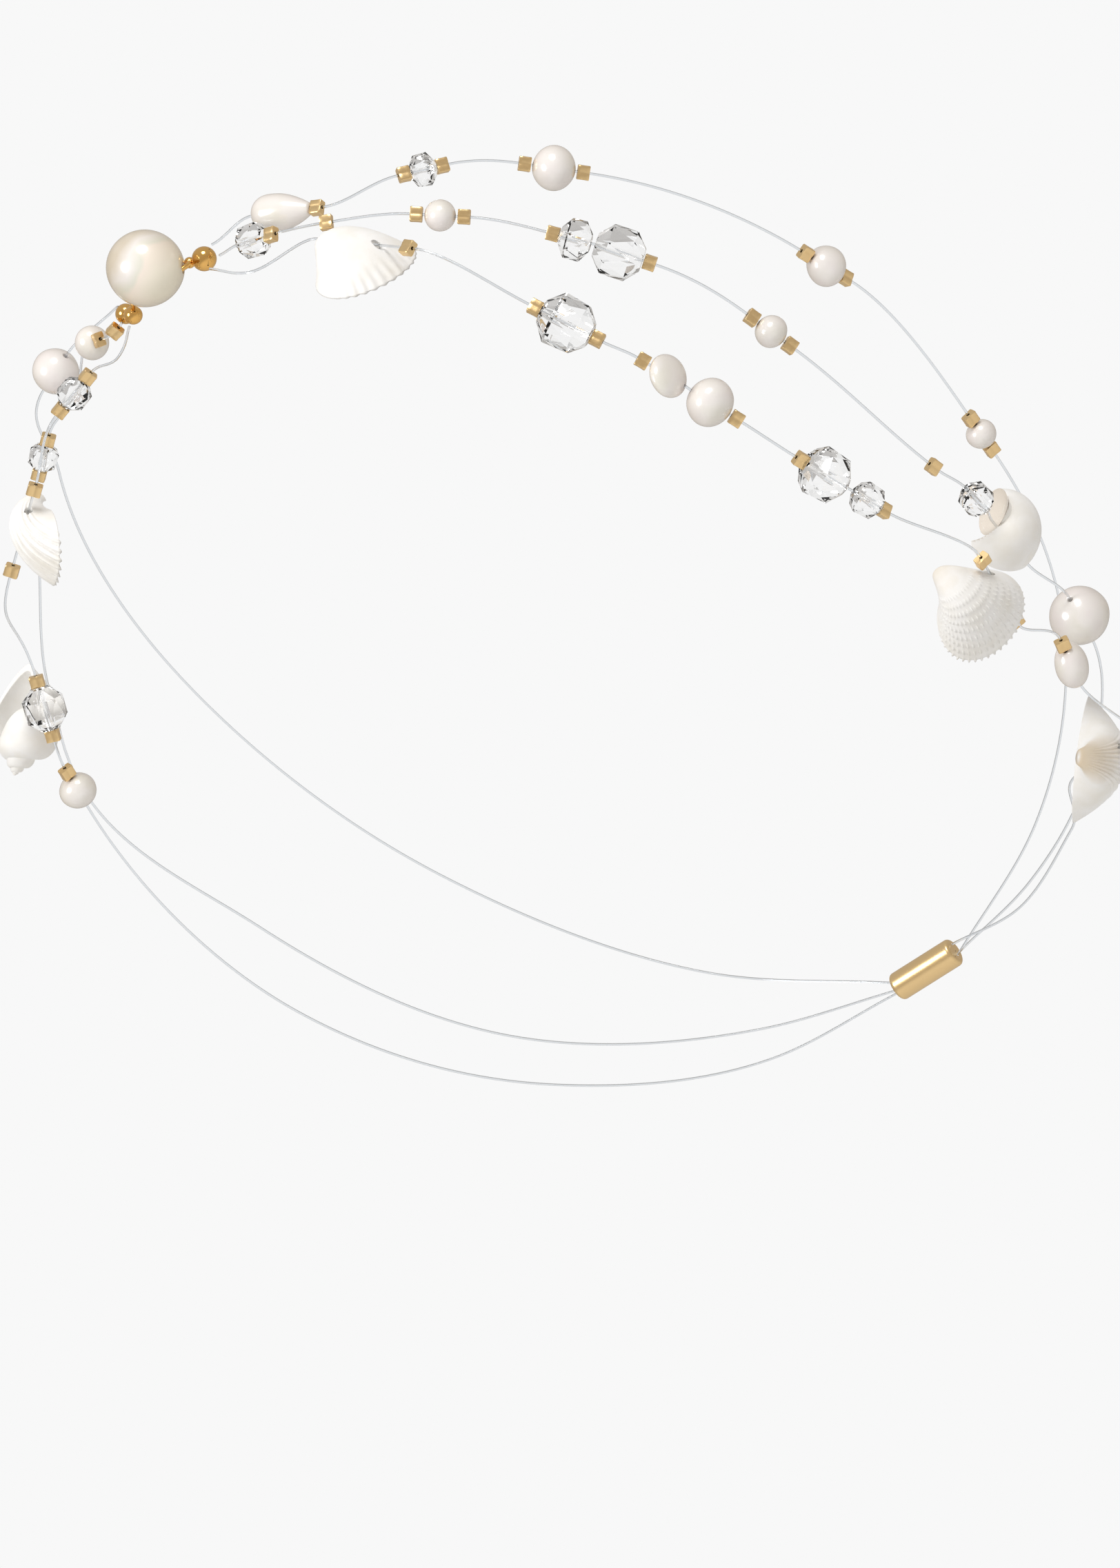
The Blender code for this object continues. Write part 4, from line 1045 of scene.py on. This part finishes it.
def coil_tree():
    """Whorls of a snail shell: one tube that widens as it winds down from the tip and turns in at its lip."""
    sizes = ("Whorls", "Growth", "Tube", "Offset", "Drop", "Shoulder", "Canal", "Slant", "Middle")
    sockets = [(size, "Float") for size in sizes]
    sockets += [("Steps", "Int"), ("Sides", "Int"), ("Material", "Material")]
    tree, start = new_tree("whorls of a shell", sockets)
    given = start.outputs
    sheet = add_node(tree, "GeometryNodeMeshGrid", {"Size X": 1.0, "Size Y": 1.0,
                                                    "Vertices X": given["Steps"],
                                                    "Vertices Y": given["Sides"]})
    position = add_node(tree, "GeometryNodeInputPosition").outputs["Position"]
    flat = add_node(tree, "ShaderNodeSeparateXYZ", {"Vector": position}).outputs
    section = add_node(tree, "ShaderNodeMapRange", {"Value": flat["Y"], "From Min": -0.5, "From Max": 0.5,
                                                    "To Max": 2.0 * math.pi}).outputs[0]
    outside = add_node(tree, "ShaderNodeMapRange", {"Value": flat["X"], "From Min": -0.5, "From Max": LIP_AT,
                                                    "To Max": given["Whorls"]}).outputs[0]
    inside = add_node(tree, "ShaderNodeMapRange", {"Value": flat["X"], "From Min": INSIDE_AT, "From Max": 0.5,
                                                   "To Max": INSIDE_WHORLS}).outputs[0]
    wall = add_node(tree, "ShaderNodeMapRange", {"Value": flat["X"], "From Min": LIP_AT,
                                                 "From Max": INSIDE_AT, "To Min": 1.0,
                                                 "To Max": WALL_SHARE}).outputs[0]
    across = add_node(tree, "ShaderNodeMath", {0: section}, operation="COSINE").outputs[0]
    rise = add_node(tree, "ShaderNodeMath", {0: section}, operation="SINE").outputs[0]
    lead = add_node(tree, "ShaderNodeMath", {0: rise, 1: given["Slant"]}, operation="MULTIPLY").outputs[0]
    plain = add_node(tree, "ShaderNodeMath", {0: outside, 1: inside}, operation="SUBTRACT").outputs[0]
    wound = add_node(tree, "ShaderNodeMath", {0: plain, 1: lead}, operation="ADD").outputs[0]
    left = add_node(tree, "ShaderNodeMath", {0: wound, 1: given["Whorls"]}, operation="SUBTRACT").outputs[0]
    size = add_node(tree, "ShaderNodeMath", {0: given["Growth"], 1: left}, operation="POWER").outputs[0]
    thick = add_node(tree, "ShaderNodeMath", {0: given["Tube"], 1: wall}, operation="MULTIPLY").outputs[0]
    reach = add_node(tree, "ShaderNodeMath", {0: across, 1: thick, 2: given["Offset"]},
                     operation="MULTIPLY_ADD").outputs[0]
    out = add_node(tree, "ShaderNodeMath", {0: reach, 1: size}, operation="MULTIPLY").outputs[0]
    above = add_node(tree, "ShaderNodeMath", {0: rise, 1: 0.0}, operation="MAXIMUM").outputs[0]
    below = add_node(tree, "ShaderNodeMath", {0: rise, 1: 0.0}, operation="MINIMUM").outputs[0]
    upper = add_node(tree, "ShaderNodeMath", {0: above, 1: given["Shoulder"]},
                     operation="MULTIPLY").outputs[0]
    both = add_node(tree, "ShaderNodeMath", {0: below, 1: given["Canal"], 2: upper},
                    operation="MULTIPLY_ADD").outputs[0]
    tall = add_node(tree, "ShaderNodeMath", {0: both, 1: thick}, operation="MULTIPLY").outputs[0]
    low = add_node(tree, "ShaderNodeMath", {0: tall, 1: given["Drop"]}, operation="SUBTRACT").outputs[0]
    height = add_node(tree, "ShaderNodeMath", {0: low, 1: size, 2: given["Middle"]},
                      operation="MULTIPLY_ADD").outputs[0]
    angle = add_node(tree, "ShaderNodeMath", {0: left, 1: -2.0 * math.pi}, operation="MULTIPLY").outputs[0]
    cosine = add_node(tree, "ShaderNodeMath", {0: angle}, operation="COSINE").outputs[0]
    sine = add_node(tree, "ShaderNodeMath", {0: angle}, operation="SINE").outputs[0]
    x = add_node(tree, "ShaderNodeMath", {0: cosine, 1: out}, operation="MULTIPLY").outputs[0]
    y = add_node(tree, "ShaderNodeMath", {0: sine, 1: out}, operation="MULTIPLY").outputs[0]
    place = add_node(tree, "ShaderNodeCombineXYZ", {"X": x, "Y": y, "Z": height}).outputs["Vector"]
    tagged = add_node(tree, "GeometryNodeStoreNamedAttribute",
                      {"Geometry": sheet.outputs["Mesh"], "Name": "wound", "Value": left},
                      data_type="FLOAT", domain="POINT")
    moved = add_node(tree, "GeometryNodeSetPosition",
                     {"Geometry": tagged.outputs["Geometry"], "Position": place})
    closed = add_node(tree, "GeometryNodeMergeByDistance",
                      {"Geometry": moved.outputs["Geometry"], "Distance": MERGE_DISTANCE})
    smooth = add_node(tree, "GeometryNodeSetShadeSmooth", {"Geometry": closed.outputs["Geometry"]})
    end_tree(tree, smooth.outputs["Geometry"], given["Material"])
    return tree


def hollow_out(item, middle, radius):
    """Presses a round hollow into a shell's flank and marks where it is, for the shade painted in it."""
    wound = item.data.attributes["wound"].data
    shade_mark = item.data.attributes.new("hollow", "FLOAT", "POINT")
    for index, corner in enumerate(item.data.vertices):
        away = corner.co - middle
        if away.length < radius:
            deeper = 1.0 - HOLLOW_STEP * min(wound[index].value, 0.0)
            corner.co = middle + away.normalized() * radius * deeper
            shade_mark.data[index].value = 1.0


def build_coil(stop, matrix, tree, material):
    """Snail shell, wound from its sizes, with its hollow where it has one."""
    shape = COILED_SHELLS[stop.name]
    coil = COILS[stop.name]
    seed = add_mesh(stop.name + "_start", [Vector()], [], material)
    values = {"Whorls": shape.whorls, "Growth": shape.growth, "Tube": shape.tube * MM,
              "Offset": shape.offset * MM, "Drop": shape.drop * MM, "Shoulder": shape.shoulder,
              "Canal": shape.canal, "Slant": coil.slant, "Middle": coil_middle(shape), "Steps": coil.steps,
              "Sides": coil.sides, "Material": material}
    item = grow(seed, tree, values, stop.name + "_whorls")
    if coil.hollow_radius:
        hollow_out(item, coil.hollow_at * MM, coil.hollow_radius * MM)
    item.data.transform(shell_matrix(level_frame(matrix), shape))
    return dress(item, "bleached_shell", stop.name)


def ball(centre, radius, rows, columns):
    """Points and faces of a round ball, with a tiny ring at each pole."""
    turns = [math.pi * k / rows for k in range(rows + 1)]
    profile = [(-math.cos(turn) * radius, max(math.sin(turn) * radius, POLE_RADIUS)) for turn in turns]
    return turned(profile, columns, Matrix.Translation(centre)), grid_faces(rows + 1, columns, False)


def join(parts):
    """Adds lists of points and faces into one."""
    points = []
    faces = []
    for some_points, some_faces in parts:
        start = len(points)
        points += some_points
        faces += [tuple(index + start for index in face) for face in some_faces]
    return points, faces


def wire(path, radius, columns):
    """Points and faces of a round wire with flat ends."""
    points = []
    for i, point in enumerate(path):
        before = path[max(i - 1, 0)]
        after = path[min(i + 1, len(path) - 1)]
        matrix = frame_at(point, after - before, Vector((0.0, 0.0, 1.0)))
        points += turned([(0.0, radius)], columns, matrix)
    faces = grid_faces(len(path), columns, False)
    faces.append(tuple(range(columns)))
    faces.append(tuple(range((len(path) - 1) * columns, len(path) * columns)))
    return points, faces


def build_front(cream, gold):
    """Large pearl and the gold wire and balls that hold it."""
    centre, out = seat(FRONT_PEARL)
    left = seat(BALL_LEFT)[0]
    spacer = seat(BALL_SPACER)[0]
    right = seat(BALL_RIGHT)[0]
    inner = seat(BALL_RIGHT_INNER)[0]
    along = left - right
    along = (along - out * along.dot(out)).normalized()
    radius = PEARL_DIAMETER / 2.0
    half = math.sqrt(radius ** 2 - WIRE_DEPTH ** 2) + WIRE_CLEAR
    low = centre - out * WIRE_DEPTH
    points, faces = ball(centre, radius, rows=72, columns=96)
    points = lumped(points, centre, size=9.0 * MM, depth=0.12 * MM)
    pearl = add_mesh("centre_pearl_nacre", points, faces, cream)
    tidy_normals(pearl)
    cut_hole(pearl, frame_at(low, along, out), reach=radius * 1.2, radius=WIRE_RADIUS + GAP)
    dress(pearl, "cream_pearl", "centre_pearl")
    path = [right, inner, low - along * half, low + along * half, spacer, left]
    parts = [wire(path, WIRE_RADIUS, columns=16)]
    middles = {"left": left, "spacer": spacer, "right": right, "inner": inner}
    for side, middle in middles.items():
        parts.append(ball(middle, BALL_SIZES[side] / 2.0, rows=32, columns=48))
    points, faces = join(parts)
    finding = add_mesh("centre_finding", points, faces, gold)
    tidy_normals(finding)
    dress(finding, "satin_gold", "centre_mount")
    return middles


def build_clasp(gold):
    """Plain barrel with rolled ends."""
    centre, out = seat(CLASP)
    matrix = frame_at(centre, Vector((1.0, 0.0, 0.0)), out)
    half = CLASP_LENGTH / 2.0
    bevel = CLASP_RADIUS - CLASP_END_RADIUS
    profile = [(-half, CLASP_POLE_RADIUS), (-half, CLASP_END_RADIUS - CLASP_EDGE)]
    for k in range(CLASP_STEPS + 1):
        turn = k / CLASP_STEPS * math.pi / 2.0
        profile.append((-half + bevel - math.cos(turn) * bevel, CLASP_END_RADIUS + math.sin(turn) * bevel))
    profile += [(-x, radius) for x, radius in profile[::-1]]
    faces = grid_faces(len(profile), CLASP_COLUMNS, False)
    item = add_mesh("clasp_barrel", turned(profile, CLASP_COLUMNS, matrix), faces, gold)
    tidy_normals(item)
    item.data.set_sharp_from_angle(angle=math.radians(40.0))
    dress(item, "satin_gold", "clasp")
    return matrix


def camera_axes():
    """Right, up and backward axes of the rolled camera."""
    back = Vector((math.sin(VIEW_TURN) * math.cos(VIEW_RISE),
                   -math.cos(VIEW_TURN) * math.cos(VIEW_RISE), math.sin(VIEW_RISE)))
    level = Vector((math.cos(VIEW_TURN), math.sin(VIEW_TURN), 0.0))
    upright = back.cross(level)
    right = level * math.cos(VIEW_ROLL) - upright * math.sin(VIEW_ROLL)
    up = level * math.sin(VIEW_ROLL) + upright * math.cos(VIEW_ROLL)
    return right, up, back


def add_camera():
    """Camera at the picture's angle, rolled as the picture is."""
    right, up, back = camera_axes()
    data = bpy.data.cameras.new("camera")
    data.sensor_width = SENSOR
    data.lens = SENSOR * FOCAL_PIXELS / PICTURE_HEIGHT
    data.shift_x = (PICTURE_WIDTH / 2.0 - ORIGIN_PIXEL[0]) / PICTURE_HEIGHT
    data.shift_y = (ORIGIN_PIXEL[1] - PICTURE_HEIGHT / 2.0) / PICTURE_HEIGHT
    camera = bpy.data.objects.new("camera", data)
    camera.matrix_world = Matrix((right, up, back)).transposed().to_4x4()
    camera.location = back * VIEW_DISTANCE
    scene.collection.objects.link(camera)
    scene.camera = camera


def add_lamp(name, way):
    """Round soft white lamp that faces the origin from a way given in the camera's axes."""
    right, up, back = camera_axes()
    place = (right * way[0] + up * way[1] + back * way[2]).normalized() * LAMP_DISTANCE
    data = bpy.data.lights.new(name, "AREA")
    data.shape = "DISK"
    data.size = LAMP_RADIUS * 2.0
    data.energy = LAMP_POWER
    lamp = bpy.data.objects.new(name, data)
    lamp.rotation_euler = place.to_track_quat("Z", "Y").to_euler()
    lamp.location = place
    scene.collection.objects.link(lamp)


def add_floor():
    """Plain pale floor, far enough below that no edge of it shows."""
    material = start_material("matte_pale_floor", Base_Color=linear("#f4f4f3"), Roughness=0.9)[0]
    turns = [2 * math.pi * k / FLOOR_SIDES for k in range(FLOOR_SIDES)]
    points = [Vector((math.cos(turn) * FLOOR_RADIUS, math.sin(turn) * FLOOR_RADIUS, -FLOOR_DROP))
              for turn in turns]
    floor = add_mesh("floor", points, [tuple(range(FLOOR_SIDES))], material)


def add_world():
    """Pale studio all round: white to the lens, softer and a little warm in what it lights."""
    world = bpy.data.worlds.new("studio")
    world.use_nodes = True
    tree = world.node_tree
    tree.nodes.clear()
    rays = add_node(tree, "ShaderNodeLightPath").outputs
    way = add_node(tree, "ShaderNodeTexCoord").outputs["Generated"]
    height = add_node(tree, "ShaderNodeSeparateXYZ", {"Vector": way}).outputs["Z"]
    depth = add_node(tree, "ShaderNodeVectorMath", {0: way, 1: camera_axes()[2]},
                     operation="DOT_PRODUCT").outputs["Value"]
    colours = []
    for value, stops in ((height, ((0.0, "#b9b2a8"), (0.45, "#bab3ab"), (0.6, "#bcb8b3"), (1.0, "#c6c5c5"))),
                         (depth, ((0.0, "#f8f8f8"), (0.35, "#f4f4f3"), (0.7, "#c9c6c2"), (1.0, "#7d7872")))):
        share = add_node(tree, "ShaderNodeMapRange", {"Value": value, "From Min": -1.0, "From Max": 1.0})
        ramp = add_node(tree, "ShaderNodeValToRGB", {"Fac": share.outputs["Result"]}, stops)
        colours.append(ramp.outputs["Color"])
    soft, through, white = [
        add_node(tree, "ShaderNodeBackground", {"Color": colour, "Strength": 1.0}).outputs["Background"]
        for colour in colours + [linear("#f8f8f8")]]
    lit = add_node(tree, "ShaderNodeMixShader", {0: rays["Is Transmission Ray"], 1: soft, 2: through})
    seen = add_node(tree, "ShaderNodeMixShader",
                    {0: rays["Is Camera Ray"], 1: lit.outputs["Shader"], 2: white})
    add_node(tree, "ShaderNodeOutputWorld", {"Surface": seen.outputs["Shader"]})
    scene.world = world


def main():
    """Studio first, then the front finding and the clasp, then each line with its beads."""
    add_camera()
    add_world()
    add_floor()
    for name, way in LAMPS.items():
        add_lamp(name, way)
    scene.view_settings.view_transform = "Standard"
    cream = make_cream_pearl()
    white = make_white_pearl()
    shell = make_shell_material()
    satin = make_gold("satin_gold_plate", "#f0d09a", roughness=0.3, grain_size=0.6 * MM, grain_strength=0.05)
    polished = make_gold("polished_gold_plate", "#eebb6c", roughness=0.1, grain_size=1.5 * MM,
                         grain_strength=0.02)
    glass = make_crystal()
    nylon = make_nylon()
    balls = build_front(cream, polished)
    clasp_frame = build_clasp(satin)
    line = line_tree()
    crimps = crimp_tree()
    valves = valve_tree()
    coils = coil_tree()
    form = crimp_form(satin)
    for name, route in make_routes(balls, clasp_frame).items():
        build_nylon(name, route, line, nylon)
        if crimp_places(route):
            build_crimps(name, route, crimps, form, satin)
        for index, stop in enumerate(route.stops):
            matrix = route.frame(route.at[index + 1])
            if stop.kind in ("pearl", "drop"):
                build_pearl(stop, matrix, white)
            elif stop.kind == "crystal":
                build_crystal(stop, matrix, glass)
            elif stop.kind == "cockle":
                build_valve(stop, matrix, valves, shell)
            elif stop.kind == "spiral":
                build_coil(stop, matrix, coils, shell)
    bpy.data.objects.remove(form)


main()
